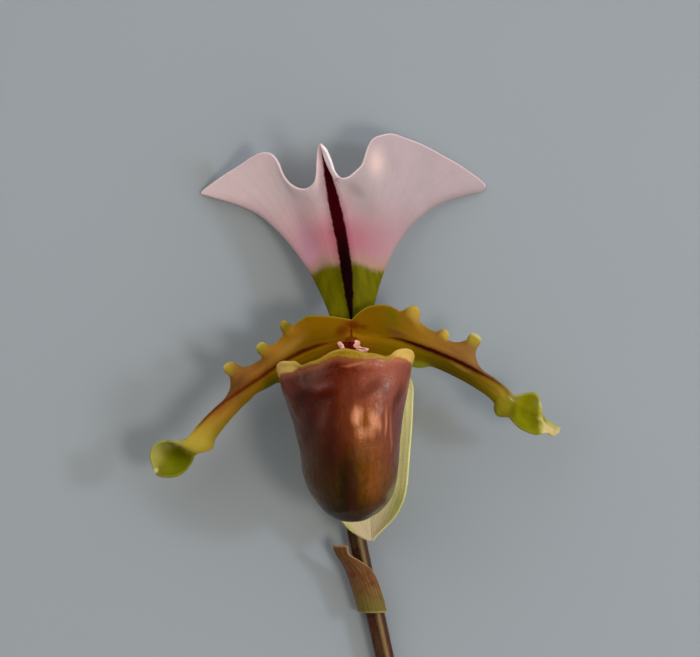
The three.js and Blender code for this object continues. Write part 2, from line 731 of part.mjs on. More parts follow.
// These lie along the surface and are placed from the resting spot, not from the heart.
const OVARY_PATH = new THREE.CatmullRomCurve3(
  [
    [0, 13.4, HEART[2] + RECEPTACLE_Z],
    [0, 13.4, 8],
    [0, 12.4, 5.4],
    [0, 9.8, 3.2],
    [0, 5.8, 2],
    [0, 0, 1.72],
    [0, -8, 1.75],
    [0.2, -16, 1.85],
    [0.7, -21.6, 2],
    [1.7, -26.4, 2.1],
    [4, -36, 2],
  ].map((p) => new THREE.Vector3(...p)),
);
const OVARY_GIRTH = [
  [0, 2.5],
  [0.04, 2.2],
  [0.14, 1.9],
  [0.4, 1.85],
  [0.75, 1.6],
  [1, 1.35],
];
const STALK_PATH = new THREE.CatmullRomCurve3(
  [
    [4.1, -36.3, 2],
    [6.2, -46, 1.8],
    [8.2, -56, 1.65],
    [9.4, -66, 1.6],
  ].map((p) => new THREE.Vector3(...p)),
);
const STALK_RADIUS = 1.65;
const OVARY_RIBS = { height: 0.07, count: 6 };

function ovary() {
  const { rings, sides } = OVARY_STEPS;
  const ribbed = stalk(OVARY_PATH, rings, sides, (s) => value(OVARY_GIRTH, s), OVARY_RIBS);
  return toGeometry(toSolid(ribbed).intersect(above(0)));
}

function flowerStalk() {
  const { rings, sides } = STALK_STEPS;
  return toGeometry(toSolid(stalk(STALK_PATH, rings, sides, () => STALK_RADIUS)).intersect(above(0)));
}

// A short boat-shaped leaf that clasps the foot of the ovary from above, with its tip free on the left.
const BRACT = [
  [0, 3.9, -36.6, 2.1, 2.45, 100],
  [0.3, 2.9, -33, 2.3, 2.5, 95],
  [0.6, 1.7, -29, 2.5, 2.6, 80],
  [0.85, 0.4, -25.6, 2.9, 2.7, 60],
  [1, -0.9, -23.6, 3.2, 2.7, 22],
];
const BRACT_TURN = degToRad(20); // its back is turned towards the left

function bractSurface(u, v) {
  const [x, y, z, radius, spread] = profile(BRACT, v);
  const angle = (2 * u - 1) * degToRad(spread) - BRACT_TURN;
  return new THREE.Vector3(x + radius * sin(angle), y, z + radius * cos(angle));
}

function bract() {
  const { across, along } = BRACT_STEPS;
  return toGeometry(toSolid(sheet(bractSurface, steps(across), steps(along), BLADE)).intersect(above(GAP)));
}

// --------------------------------------------------------------------------------------------- assembly

const COLOURS = {
  whitePink: [0.86, 0.76, 0.76],
  goldenGreen: [0.5, 0.38, 0.06],
  paleGreen: [0.68, 0.64, 0.4],
  chestnut: [0.36, 0.14, 0.08],
  crimson: [0.4, 0.08, 0.12],
  amber: [0.48, 0.3, 0.08],
  darkPurple: [0.2, 0.12, 0.08],
  brown: [0.42, 0.27, 0.14],
};

function organ(name, geometry, colour, roughness) {
  const material = new THREE.MeshStandardMaterial({
    color: new THREE.Color().setRGB(...COLOURS[colour], THREE.SRGBColorSpace),
    roughness,
    metalness: 0,
  });
  const mesh = new THREE.Mesh(geometry, material);
  mesh.name = name;
  return mesh;
}

const bloom = new THREE.Group();
bloom.position.set(...HEART);
bloom.add(
  organ('dorsal_sepal', dorsalSepal(), 'whitePink', 0.6),
  organ('synsepalum', synsepalum(), 'paleGreen', 0.6),
  organ('petal_left', petal(LEFT_PETAL, -1), 'goldenGreen', 0.5),
  organ('petal_right', petal(RIGHT_PETAL, 1), 'goldenGreen', 0.5),
  organ('pouch', pouch(), 'chestnut', 0.3),
  organ('column', column(), 'amber', 0.5),
  organ('staminode', shield(SHIELD_WALL), 'crimson', 0.5),
);

const part = new THREE.Group();
part.add(
  bloom,
  organ('ovary', ovary(), 'darkPurple', 0.6),
  organ('bract', bract(), 'brown', 0.6),
  organ('flower_stalk', flowerStalk(), 'darkPurple', 0.6),
);

export default part;
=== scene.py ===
"""Looks of a slipper-orchid bloom (Paphiopedilum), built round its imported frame.

Tables of form are in millimetres and turn into metres when a mesh is made. Sepals, petals, pouch and column
are placed from the heart, the point where they all meet the ovary. The bloom faces +Z and points along +Y.
"""

import math

import bpy
import numpy as np
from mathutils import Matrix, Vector


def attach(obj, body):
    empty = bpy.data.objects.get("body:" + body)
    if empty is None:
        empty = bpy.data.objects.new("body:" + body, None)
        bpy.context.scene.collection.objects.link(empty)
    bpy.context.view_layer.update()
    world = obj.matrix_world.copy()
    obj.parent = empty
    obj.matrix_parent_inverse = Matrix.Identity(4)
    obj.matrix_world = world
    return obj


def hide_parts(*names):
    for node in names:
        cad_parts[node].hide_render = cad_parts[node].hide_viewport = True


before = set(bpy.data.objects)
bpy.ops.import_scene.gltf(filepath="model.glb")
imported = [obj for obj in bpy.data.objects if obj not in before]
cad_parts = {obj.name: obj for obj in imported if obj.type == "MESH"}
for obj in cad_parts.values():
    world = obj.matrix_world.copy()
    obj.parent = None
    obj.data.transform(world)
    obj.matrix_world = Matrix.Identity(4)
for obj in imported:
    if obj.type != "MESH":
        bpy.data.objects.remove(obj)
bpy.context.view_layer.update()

MM = 0.001
HEART = np.array([0, 14, 11.5])
SEED = 7
OCTAVES, WAVES = 3, 4  # sizes of wave in a wobble, each half the one before, and waves of each size
FLOOR_CLEARANCE = 0.03  # mm that the underside keeps above the surface it lies on
BRACT_CLEARANCE = 0.3  # the same for the bract
MARGIN_INSET = 0.12  # mm that a petal's thin edge stays inside its solid's edge
KNOB_SPACING = 22  # steps of a petal's grid that its knobs are averaged over
VEIN_SPACING = 26  # steps of the dorsal sepal's grid that its notches are averaged over
GRID = {  # points across and along each grid; a petal's are counted from its midrib to one margin
    "dorsal_sepal": (341, 132), "petal": (42, 420), "synsepalum": (91, 150), "pouch": (260, 190),
    "staminode": (97, 70), "column": (48, 60), "anther": (32, 24), "ovary": (96, 260),
    "flower_stalk": (72, 140), "bract": (81, 110),
}
ROUNDING = {  # mm from a leaf's edge over which it rounds off
    "dorsal_sepal": 0.3, "petal_left": 0.34, "petal_right": 0.34, "synsepalum": 0.3, "staminode": 0.2,
    "bract": 0.24,
}

# ---- forms in mm

# Rows of the dorsal sepal's four curves are a place from side to side (-1 to 1), then x, y, z.
VEIN_FOOT = [
    (-1, -2.6, 2.6, -4), (-0.86, -3.7, 2.4, -2.2), (0, -0.1, 2.2, -1.5), (0.86, 3.4, 2.4, -2.2),
    (1, 3.5, 2.6, -3.5),
]
VEIN_RISE = [
    (-1, -4.2, 12.3, -6.6), (-0.86, -7.6, 12.2, -4.2), (-0.5, -3.9, 12.5, -2), (0, -0.9, 12, -0.8),
    (0.42, 2.7, 13, -2), (0.86, 5.45, 14.2, -4.2), (1, 3.6, 13.8, -6.6),
]
VEIN_REACH = [
    (-1, -12.6, 23.2, -10), (-0.86, -15.5, 21.9, -8), (-0.7, -13.9, 25.2, -6), (-0.53, -13, 26.4, -4.2),
    (-0.44, -11.6, 25, -2.9), (-0.35, -9.7, 22.8, -1.5), (-0.24, -7, 21.6, -0.2), (-0.12, -4.6, 23, 0.9),
    (0, -2.4, 25, 1.6), (0.1, -2.2, 24.3, 1.8), (0.18, -1.2, 22.8, 1.4), (0.28, 1.4, 23.6, 0.7),
    (0.4, 4.2, 26.2, -0.6), (0.6, 8.6, 27.4, -3.6), (0.86, 11.7, 23.3, -7.8), (1, 9.8, 24.1, -10),
]
TOP_MARGIN = [
    (-1, -26.5, 25.7, -11.4), (-0.93, -27.3, 25.9, -11.2), (-0.86, -27.4, 26.3, -11),
    (-0.78, -24.1, 28.7, -9.4), (-0.68, -20.3, 31, -7.4), (-0.6, -18.1, 32.4, -5.8),
    (-0.53, -16.1, 33.1, -4.2), (-0.48, -14.6, 32.8, -3), (-0.44, -13.5, 31.5, -2.2),
    (-0.4, -12.6, 29.3, -1.2), (-0.35, -11.4, 27.6, -0.2), (-0.29, -9.9, 26.6, 0.8),
    (-0.24, -8.6, 26.35, 1.6), (-0.2, -7.6, 26.7, 2.2), (-0.16, -6.8, 27.6, 2.8), (-0.12, -6.5, 29.1, 3.4),
    (-0.07, -6.4, 31.3, 4.2), (-0.03, -6.2, 33.4, 4.9), (0, -5.7, 34.3, 5.4), (0.03, -5.1, 33.9, 5.6),
    (0.06, -4.5, 33.2, 5.6), (0.1, -3.7, 31.4, 5.2), (0.14, -3, 29.4, 4.4), (0.18, -2, 28.3, 3.4),
    (0.22, -0.7, 28.5, 2.6), (0.26, 0.7, 29.6, 1.8), (0.3, 1.8, 30.8, 1), (0.335, 2.4, 32.5, 0.3),
    (0.37, 2.9, 34.1, -0.4), (0.4, 3.8, 35.5, -1.1), (0.44, 5.4, 36.2, -2), (0.49, 7.2, 36.5, -3.2),
    (0.55, 9.3, 35.9, -4.4), (0.63, 12.9, 34.6, -6.4), (0.71, 16.6, 32.7, -8.2), (0.78, 20.2, 30.7, -9.8),
    (0.86, 24.2, 27.7, -11), (0.93, 23.9, 26.5, -11.3), (1, 22.8, 26.1, -11.4),
]
STRIPE_HALF = [  # station and half width of the dark midline
    (0, 0.25), (0.07, 0.4), (0.16, 0.68), (0.24, 0.9), (0.37, 1.04), (0.5, 1.04), (0.62, 1.06), (0.74, 0.98),
    (0.82, 0.78), (0.89, 0.5), (0.935, 0.28), (0.965, 0.05), (1, -0.4),
]
# Station and how far right of the midrib the middle of that line runs.
STRIPE_LEAN = [(0, 0), (0.24, 0.1), (0.37, 0.2), (0.6, 0.15), (0.75, 0.1), (0.9, 0), (1, 0)]
FLAP_EDGE = [  # y and x of the folded flap's free edge
    (27.5, -3.1), (28.2, -3.3), (29, -3.74), (30.4, -4.41), (31.95, -5.09), (33.1, -5.4), (34, -5.55),
    (35, -5.6),
]

# Rows of spots are x, y, turn in degrees, half length, half width, strength. Each patch begins with its tone.
# A painted highlight: a bright thin band along the left edge of the sepal's apex.
SEPAL_BEAK_HIGHLIGHT = [(-6.1, 30.6, 84, 3.6, 0.6, 1)]
SEPAL_SHADES = [
    (0.8, 26, -42, 2.6, 1.2, 1), (2.4, 24, -60, 4, 2.2, 0.5), (-6.4, 25.4, 75, 3.2, 1.9, 0.42),
]

# A petal's midrib, upper and lower margin are rows of station, x, y, z. Its arch says how far the upper and
# lower half bulge at a station; its knobs are station, size, warmth, paleness of the tip and strength. Its
# line is the half width of the dark midline, its line_lean how far that lies to the upper side.
LEFT_PETAL = {
    "turn": -1,
    "midrib": [
        (0, -0.03, 0.35, 0.9), (0.05, -2.2, -0.9, 1.2), (0.133, -5.8, -1.8, 1.4), (0.22, -9.4, -3.2, 1.5),
        (0.313, -13, -5.2, 1.6), (0.41, -16.6, -7.7, 1.6), (0.508, -20.2, -10.1, 1.4),
        (0.604, -23.8, -12.5, 1), (0.714, -27.4, -15.9, 0.4), (0.77, -28.9, -17.9, 0.4),
        (0.815, -30, -19.5, 0.9), (0.832, -30.4, -20.1, 0.7), (0.845, -30.6, -20.4, -0.5),
        (0.87, -31.1, -21.3, -2.1), (0.91, -32.4, -22.5, -3), (0.95, -33.8, -23.2, -2.9),
        (0.98, -34.9, -23.9, -2.1), (1, -35.7, -24.8, -1.1),
    ],
    "upper": [
        (0, -0.03, 2.9, 0.6), (0.05, -2.7, 3.4, 0.9), (0.1, -4.9, 3.6, 1.1), (0.15, -7.8, 3.65, 1.1),
        (0.172, -9, 3.05, 0.9), (0.187, -9.9, 2.35, 0.6), (0.2, -10.9, 1.85, 0.5), (0.207, -11.6, 2.15, 0.7),
        (0.213, -12.1, 2.65, 1.1), (0.219, -12.65, 2.7, 1.2), (0.225, -12.95, 2, 1.1),
        (0.231, -12.75, 1.45, 0.9), (0.239, -12.3, 0.8, 0.6), (0.255, -12.9, -0.4, 0.2),
        (0.285, -14, -1.5, -0.1), (0.31, -15.1, -1.85, 0), (0.32, -15.7, -1.6, 0.6), (0.328, -16.4, -1.15, 1),
        (0.337, -17.25, -1.8, 1.1), (0.346, -17.1, -2.55, 0.8), (0.355, -16.2, -3.3, 0.2),
        (0.366, -16.2, -4.15, -0.2), (0.39, -17.7, -5.15, -0.5), (0.42, -19, -5.7, -0.6),
        (0.44, -20.1, -5.75, -0.4), (0.452, -21, -5.35, 0.2), (0.463, -22, -4.7, 0.8),
        (0.474, -23.2, -5.4, 1), (0.484, -23, -6.2, 0.7), (0.496, -22.1, -7, 0), (0.52, -21.75, -8.65, -0.8),
        (0.55, -22, -10.2, -1.4), (0.6, -23.35, -12.7, -2), (0.66, -25.2, -15.15, -2.4),
        (0.72, -26.9, -17.05, -2.2), (0.78, -29.65, -18.8, -1.2), (0.81, -31.2, -19.15, -0.1),
        (0.835, -32.5, -19.1, 0.2), (0.87, -33.8, -19, -0.3), (0.9, -35.3, -19.4, -0.7),
        (0.93, -36.3, -20.6, -0.9), (0.96, -36.5, -22.2, -1), (0.985, -36.1, -23.6, -1),
        (1, -35.9, -24.5, -1),
    ],
    "lower": [
        (0, -0.03, -1.2, 0.9), (0.05, -1.8, -2.9, 0.9), (0.133, -5.6, -4.4, 0.6), (0.22, -9, -6.3, 0),
        (0.313, -12.4, -8.5, -0.2), (0.36, -13.6, -8.7, -0.3), (0.41, -15.1, -9.5, -0.4),
        (0.46, -17.2, -10.55, -0.5), (0.508, -18.4, -11.75, -0.5), (0.56, -19.8, -13.05, -0.5),
        (0.604, -21, -14.35, -0.6), (0.65, -22.15, -15.65, -0.7), (0.714, -23.6, -17.5, -0.8),
        (0.77, -24.6, -19, -0.4), (0.795, -25.05, -20.5, 0.1), (0.81, -26, -21, 0.3),
        (0.825, -27.2, -21.3, 0.4), (0.845, -28.1, -21.8, 0.1), (0.87, -28.9, -23.2, -0.6),
        (0.91, -30.2, -24.8, -1), (0.94, -31.5, -25.6, -1.1), (0.965, -33.1, -25.8, -1.1),
        (0.985, -34.5, -25.7, -1), (1, -35.4, -25.2, -1),
    ],
    "arch": [
        (0, 0.3, 0.3), (0.1, 0.5, 0.4), (0.25, 0.7, 0.7), (0.45, 1, 0.8), (0.72, 0.9, 0.9), (0.8, 0.5, 0.6),
        (0.83, 0.2, 0.3), (0.87, -0.7, -0.9), (0.93, -1.1, -1.1), (1, 0, 0),
    ],
    "line": [
        (0, -0.4), (0.08, -0.1), (0.13, 0.25), (0.2, 0.32), (0.28, 0.28), (0.5, 0.28), (0.62, 0.2),
        (0.69, 0.1), (0.74, -0.1), (0.8, -0.6), (1, -1),
    ],
    "line_lean": [(0, 0), (0.5, 0), (0.6, -0.15), (1, -0.2)],
    "knobs": [(0.222, 0.8, 0.4, 0.15, 0.3), (0.337, 1.1, 0.1, 0.5, 1), (0.477, 1.2, 0.5, 0.5, 1)],
    # glow: strength of a painted highlight along the middle of the neck's lower half
    "glow": 0.6,
    "lip": (-35.9, -21.8, 1.6),
}

RIGHT_PETAL = {
    "turn": 1,
    "midrib": [
        (0, 0, 0.35, 0.9), (0.05, 2.3, -0.3, 1.2), (0.105, 4.7, -0.5, 1.4), (0.2, 8.6, -1.1, 1.6),
        (0.288, 12.2, -2.3, 1.8), (0.377, 15.8, -3.6, 1.8), (0.468, 19.4, -5.1, 1.7), (0.56, 23, -6.9, 1.4),
        (0.657, 26.7, -9, 0.9), (0.705, 28.2, -10.7, 0.4), (0.757, 29.4, -12.3, -0.7),
        (0.8, 30.6, -13.4, -1.4), (0.84, 32.2, -14.1, -1.1), (0.865, 33.1, -14.4, -0.1),
        (0.882, 33.7, -14.5, 0.6), (0.897, 34, -14.8, 0), (0.915, 34.4, -15.4, -1), (0.96, 36, -16.7, -1.3),
        (1, 37.5, -17.2, -1.1),
    ],
    "upper": [
        (0, 0, 2.9, 0.6), (0.04, 1.2, 4.2, 0.8), (0.075, 2.9, 5.25, 1), (0.11, 4.6, 5.6, 1.1),
        (0.14, 6.1, 5.55, 1), (0.165, 7.4, 5.15, 0.8), (0.185, 8.5, 4.5, 0.6), (0.2, 9.3, 4.6, 0.7),
        (0.212, 10.1, 5.1, 1), (0.224, 11.1, 5.45, 1.3), (0.236, 12, 4.95, 1.4), (0.248, 12, 3.7, 1.1),
        (0.258, 11.8, 2.8, 0.8), (0.275, 12.6, 2.1, 0.5), (0.3, 14, 1.1, 0.2), (0.325, 15.5, 0.6, 0.1),
        (0.337, 16.2, 1, 0.5), (0.348, 16.95, 1.05, 0.9), (0.358, 17.45, 0.35, 1), (0.368, 17.2, -0.6, 0.5),
        (0.385, 18.2, -1.2, 0.1), (0.41, 19.4, -1.3, -0.2), (0.432, 20.6, -1, -0.1), (0.445, 21.3, -0.6, 0.3),
        (0.455, 21.5, 0.1, 0.7), (0.466, 22, 0.45, 1.1), (0.478, 22.9, 0, 1.2), (0.489, 23.25, -0.65, 1),
        (0.502, 22.6, -1.5, 0.4), (0.52, 22.05, -2.75, -0.2), (0.54, 22.05, -4, -0.7),
        (0.56, 22.45, -5.2, -1.2), (0.59, 23.7, -6.6, -1.7), (0.63, 25.4, -7.8, -2), (0.67, 27.1, -9.1, -1.5),
        (0.7, 28.4, -10.15, -0.6), (0.72, 29.3, -10.75, 0), (0.75, 30.4, -10.75, 0.1),
        (0.79, 31.9, -10.3, 0.3), (0.83, 33.1, -10.35, 0.6), (0.86, 33.8, -11.1, 0.8),
        (0.882, 33.9, -11.9, 0.8), (0.897, 34, -13.1, 0), (0.915, 34.3, -14.1, -0.8), (0.94, 35.1, -15, -1.1),
        (0.97, 36.4, -15.8, -1.2), (1, 37.7, -16.7, -1),
    ],
    "lower": [
        (0, 0, -1.2, 0.9), (0.05, 1.9, -2.9, 0.9), (0.12, 5.6, -4.4, 0.8), (0.2, 8.6, -5.2, 0.4),
        (0.26, 10.8, -5.8, 0), (0.31, 12.4, -6, -0.2), (0.34, 14, -5.7, -0.3), (0.377, 15.3, -6, -0.4),
        (0.42, 17.3, -6.9, -0.5), (0.468, 18.9, -7.7, -0.5), (0.52, 20.9, -8.8, -0.5),
        (0.58, 23.1, -10.2, -0.4), (0.63, 24.8, -11.5, -0.3), (0.665, 25.75, -12.7, -0.2),
        (0.675, 25.6, -13.5, 0), (0.69, 25.9, -14.5, 0.2), (0.705, 26.7, -14.9, 0.2), (0.73, 28.2, -15, 0.1),
        (0.76, 29, -15.8, 0.1), (0.8, 30.2, -16.9, 0.2), (0.84, 31.7, -17.7, 0.4), (0.865, 32.9, -18.1, 0.6),
        (0.882, 33.9, -18.1, 0.6), (0.897, 34.4, -17.9, 0.1), (0.915, 34.8, -17.9, -0.5),
        (0.94, 35.5, -18, -0.9), (0.97, 36.3, -18.5, -1.1), (1, 37.3, -17.9, -1),
    ],
    "arch": [
        (0, 0.3, 0.3), (0.1, 0.5, 0.4), (0.25, 0.7, 0.7), (0.45, 1, 0.8), (0.62, 0.8, 0.7), (0.7, 0.4, 0.3),
        (0.757, -0.3, -0.4), (0.8, -0.7, -0.7), (0.85, -0.3, -0.3), (0.882, 0.2, 0.2), (1, 0, 0),
    ],
    "line": [
        (0, -0.8), (0.1, -0.5), (0.14, -0.1), (0.19, 0.15), (0.3, 0.31), (0.5, 0.3), (0.6, 0.2), (0.66, 0.06),
        (0.7, -0.1), (0.78, -0.6), (1, -1),
    ],
    "line_lean": [(0, 0.3), (0.3, 0.3), (0.45, 0.2), (0.6, 0.1), (1, 0)],
    "knobs": [(0.23, 1.4, 1, 0.3, 0.9), (0.355, 1.1, 1.2, 0.9, 1), (0.474, 1.8, 0.35, 1, 1)],
    "glow": 0.15,
    "lip": (34.2, -12.4, 0.5),
}

# Dark red-brown about the column. This is partly the petals' own colour and partly painted shade in the
# hollow where their feet meet.
HEART_BLOTCHES_AND_SHADE = [
    (0.1, 1.75, -6, 1.9, 0.85, 1), (-1.7, 0.9, 25, 1.9, 1, 0.8), (-0.5, -0.6, 90, 1.5, 1, 0.3),
    (1.9, 1.5, -10, 1.2, 0.6, 0.7), (-0.15, 0.4, 90, 2.4, 0.3, 0.9),
]

PETAL_PATCHES = {
    "umber": [
        (100, 64, 28),
        (-20.5, -8.8, 47, 3.4, 1.1, 0.7), (-16.4, -5.2, 40, 3, 0.9, 0.5), (-23.4, -11.7, 47, 3.6, 0.4, 0.9),
        (7.9, 0.4, -30, 2.6, 0.8, 0.7), (18.5, -3.1, -30, 4.5, 1, 0.4),
    ],
    "amber": [
        (172, 126, 48),
        (-11.3, -2.2, 38, 3.4, 0.9, 0.8), (-26.6, -15.4, 50, 2.4, 0.7, 0.6), (11.4, 3, -55, 2.6, 1, 0.8),
        (19.8, -5.9, -32, 3.4, 0.5, 0.5), (27, -10.6, -45, 1.4, 0.5, 0.6),
    ],
    # Olive is partly the petals' colour and partly painted shade, in the crease at the right hood's left edge
    # and in the hollow of the left cup.
    "olive": [
        (94, 86, 0),
        (7.2, 3.2, -60, 2.2, 1.1, 0.8), (28.8, -13.9, 80, 1.7, 0.8, 0.8), (-31.2, -21.4, -10, 1.7, 1.1, 0.7),
        (-8.5, 2.9, 0, 3, 0.5, 0.5), (-11.8, 1.4, 70, 1.1, 0.7, 0.9),
    ],
    "leafy": [
        (132, 138, 34),
        (-14.2, -8.4, 30, 2.4, 0.6, 1), (12.4, -5.3, -12, 2.6, 0.8, 1), (26.4, -14, 60, 0.9, 0.8, 0.5),
        (34.5, -14.9, -60, 1.6, 0.5, 0.8),
    ],
    # The cream spots are partly painted highlights (the lip of the left cup, a spot on the right neck, a
    # glint on the right hood). They are partly pale colour (the right hood's rim and tongue tip).
    "cream": [
        (206, 194, 136),
        (-35.6, -24.6, 40, 0.6, 0.45, 1), (28.7, -11.5, -45, 0.9, 0.4, 0.6), (37.5, -17.1, 60, 0.9, 0.4, 0.7),
        (34, -11.9, 88, 1.6, 0.22, 0.8), (34.7, -17.6, 60, 0.4, 0.35, 1),
    ],
}

KEEL = [  # station, x, y, z
    (0, 0.1, -2, -1), (0.12, 0.4, -6.2, -3.4), (0.35, 1.3, -14, -6.1), (0.6, 2.2, -22.5, -6.4),
    (0.82, 3, -30.5, -5.2), (1, 3.6, -37.3, -3),
]
BOAT_SIDES = [  # station, half width on the left and right, and how far the sides rise
    (0, 3.2, 3.2, 0.4), (0.1, 5.4, 7.9, 0.5), (0.18, 6.8, 10.2, 0.9), (0.3, 8, 10, 1.6),
    (0.6, 8.4, 8.25, 2.4), (0.78, 7.2, 6.85, 2.2), (0.88, 5.8, 4.8, 1.5), (0.94, 4.2, 2.5, 0.9),
    (0.975, 2.4, 1, 0.5), (1, 0.5, 0.3, 0.1),
]

POUCH_MIDDLE_X = -1.2
MOUTH_TILT = 0.092  # how much higher the mouth gets for each mm to the right
TILT_FADES = 0.4  # depth below BODY_START over which that goes
RIM_FRONT = 70  # degrees from the middle that the front of the rim reaches
POUCH_WALL = 0.7
POUCH_GIRTH = 60  # mm round the pouch, for its patterns
MOUTH = [  # degrees from the middle of the front, distance from the middle, y, z
    (0, 0, -2.5, 14.2), (14, 3, -2.9, 13.9), (30, 6, -4.1, 12.9), (42, 8, -4.5, 11.6), (52, 9.6, -3.8, 10.2),
    (62, 11.4, -3.6, 8.6), (73, 12.3, -4.5, 6.8), (90, 11.4, -6.6, 4.2), (112, 9, -7.9, 2.9),
    (135, 6.2, -6.8, 2.2), (155, 4, -4.8, 2.2), (180, 0, -2.9, 1.8),
]
RIM_SKEW = [  # x and how much higher the rim stands there than the two-sided table says
    (-14, 0), (-11, 0), (-10, 0.3), (-9, -0.05), (-7.5, 0.05), (-5.8, -0.22), (-3, 0.2), (-1.3, 0.2),
    (0.5, -0.1), (2.3, -0.3), (4.1, 0.1), (6, 0.1), (6.9, 0.3), (7.6, 0.5), (8.4, 0.4), (9.2, 0.3),
    (10.4, 0.05), (13, 0),
]
BAND_DEPTH = [  # x and the depth of the yellow band under the rim
    (-14, 2.1), (-11.5, 2.1), (-10.2, 1.7), (-9.2, 0.6), (-7, 0.7), (-5, 0.85), (-3, 1.1), (-1.4, 1.4),
    (0.5, 1.5), (2.3, 1.2), (4.5, 0.75), (6.4, 0.75), (7.2, 0.9), (8, 1.25), (9, 1.75), (10.2, 2.1),
    (13, 2.6),
]
POUCH_BODY = [  # depth, middle x, y, half width, front z, back z
    (0.22, -1, -9.9, 11.3, 14.6, -2.7), (0.4, -0.75, -15, 9.85, 14.6, -3.4),
    (0.56, -0.45, -20.5, 8.9, 13.6, -3.5), (0.72, -0.2, -26, 8.3, 11.2, -2.6), (0.82, 0, -29.2, 7, 9.4, -1.2),
    (0.9, 0, -31.6, 5, 7.4, 0.2), (0.955, 0, -33, 2.9, 5.6, 1.6), (0.98, 0, -33.45, 1.6, 4.6, 2.5),
    (1, 0, -33.6, 0, 3.5, 3.5),
]
POUCH_SQUARENESS = 0.9
BODY_START = POUCH_BODY[0][0]
BODY_STEP = 0.02  # share of the depth over which the slope of the body is taken

POUCH_FOLDS = [  # long soft ridges down the front: x, y, width, length, height
    (-0.2, -14.6, 1.9, 3, 0.18), (4.3, -15.8, 1.8, 3.2, 0.45), (1.9, -15, 0.5, 3.2, -0.12),
    (-5.2, -16, 1.9, 7, 0.2), (5.8, -9.5, 1.3, 2.6, 0.28), (2.6, -4.9, 4.2, 0.55, 0.07),
    (-6.2, -9.6, 3.2, 1.3, 0.22),
]
POUCH_PATCHES = {
    "sheen": [
        (112, 64, 60),
        (-5.6, -9.2, 8, 2.8, 1.1, 0.62), (-5.4, -15.4, 76, 3.2, 1.2, 0.5), (-6.3, -6.6, 12, 3.4, 0.9, 0.4),
        (5.8, -9.9, 60, 2.6, 1.5, 0.7), (7.3, -14.5, 84, 4.5, 0.5, 0.5),
    ],
    # Partly painted shade in the folds, mostly on the left side, and partly the pouch's own dark colour.
    "shade_and_dark": [
        (58, 18, 12),
        (-8.9, -11.4, 60, 3.4, 1.5, 0.95), (-5.6, -11.9, 24, 3, 0.9, 1), (-7.9, -17, 80, 5, 1.2, 0.75),
        (-3.6, -21, 86, 7, 2.2, 0.75), (8.4, -11, 70, 3.4, 1, 0.7), (-0.2, -28.5, 86, 8, 1.5, 0.9),
        (-3.3, -11, 80, 3, 0.7, 0.5), (-9.5, -6.8, 0, 2.5, 1.2, 0.5), (3, -10.4, 40, 1.7, 1.1, 0.45),
    ],
    "ember": [
        (100, 28, 2),
        (-0.6, -9.8, 90, 4.4, 2.4, 0.8), (-1.1, -16.5, 86, 6.2, 1.7, 0.6), (2.4, -6.3, 0, 2.2, 0.7, 0.6),
        (3.4, -9.6, 40, 3, 1.5, 0.9),
    ],
    "amber": [(142, 70, 6), (2.3, -15.8, 90, 3.6, 2.4, 0.8), (4, -24, 88, 7, 2.4, 0.6)],
    "rust": [(128, 50, 28), (6.5, -19.5, 88, 8, 0.8, 0.65)],
    # Light orange below the band, with a row of painted glints just under its middle.
    "peach_and_glints": [
        (184, 106, 68),
        (7.2, -4.7, 6, 3.2, 0.7, 1), (0.8, -4.9, 10, 2.8, 0.4, 0.8), (10.4, -8, 80, 3, 0.7, 1),
    ],
    # Painted reflection: a pale haze along the lower outline.
    "pale": [
        (128, 116, 70),
        (7.1, -28.6, 62, 2.8, 0.7, 0.75), (4.2, -31.6, 35, 2.8, 0.7, 0.75), (-6.5, -29.5, -58, 4, 0.4, 0.5),
    ],
    # Painted highlights: the lamps' glints on the front folds and light streaks on the right.
    "glow": [
        (214, 136, 94),
        (0.8, -14, 80, 1.9, 1, 1), (3.8, -15.2, 98, 2, 0.95, 0.9), (2.3, -17, 0, 2.2, 1.4, 0.6),
        (5.9, -15.4, 86, 3, 0.35, 0.75), (7, -17, 87, 5, 0.3, 0.5),
    ],
}

SHIELD = [  # station, half width on the left and right, x, y, z
    (0, 1.7, 1, -0.4, -1.7, 5.5), (0.14, 1.6, 1.1, -0.4, -1.9, 5.8), (0.22, 1.45, 0.95, -0.4, -2.1, 6),
    (0.29, 1.3, 0.65, -0.35, -2.3, 6.3), (0.35, 1.2, 1.2, -0.35, -2.5, 6.5), (0.41, 1.1, 3, -0.3, -2.75, 6.8),
    (0.47, 1.2, 1.8, -0.2, -3.1, 7.1), (0.8, 1.7, 2, 0, -4.8, 8.4), (1, 1.2, 1.2, 0, -5.9, 8.9),
]
SHIELD_FLAT = 0.36  # share of each half that stays flat; the rest of it curls
SHIELD_THICKNESS = 0.42
CURL_RADIUS = [  # station, radius on the left and right
    (0, 0.32, 0.5), (0.13, 0.42, 0.6), (0.25, 0.42, 0.42), (0.34, 0.38, 0.22), (0.5, 0.34, 0.18),
    (1, 0.4, 0.35),
]
CURL_TURN = math.radians(200)
CURL_LIFT = (0.55, 0.84)  # the way the curls rise, in y and z

COLUMN_PATH = [(0, -1.5, -1.9), (0, -1.5, 1), (-0.1, -1.9, 3.4), (-0.2, -2.9, 5.5)]
COLUMN_GIRTH = [(0, 1.5), (0.5, 1.3), (1, 0.9)]  # station and radius
ANTHERS = [(-0.95, -2.8, 2.9), (0.95, -2.8, 2.9)]
ANTHER_RADII = (0.9, 1.1, 0.9)

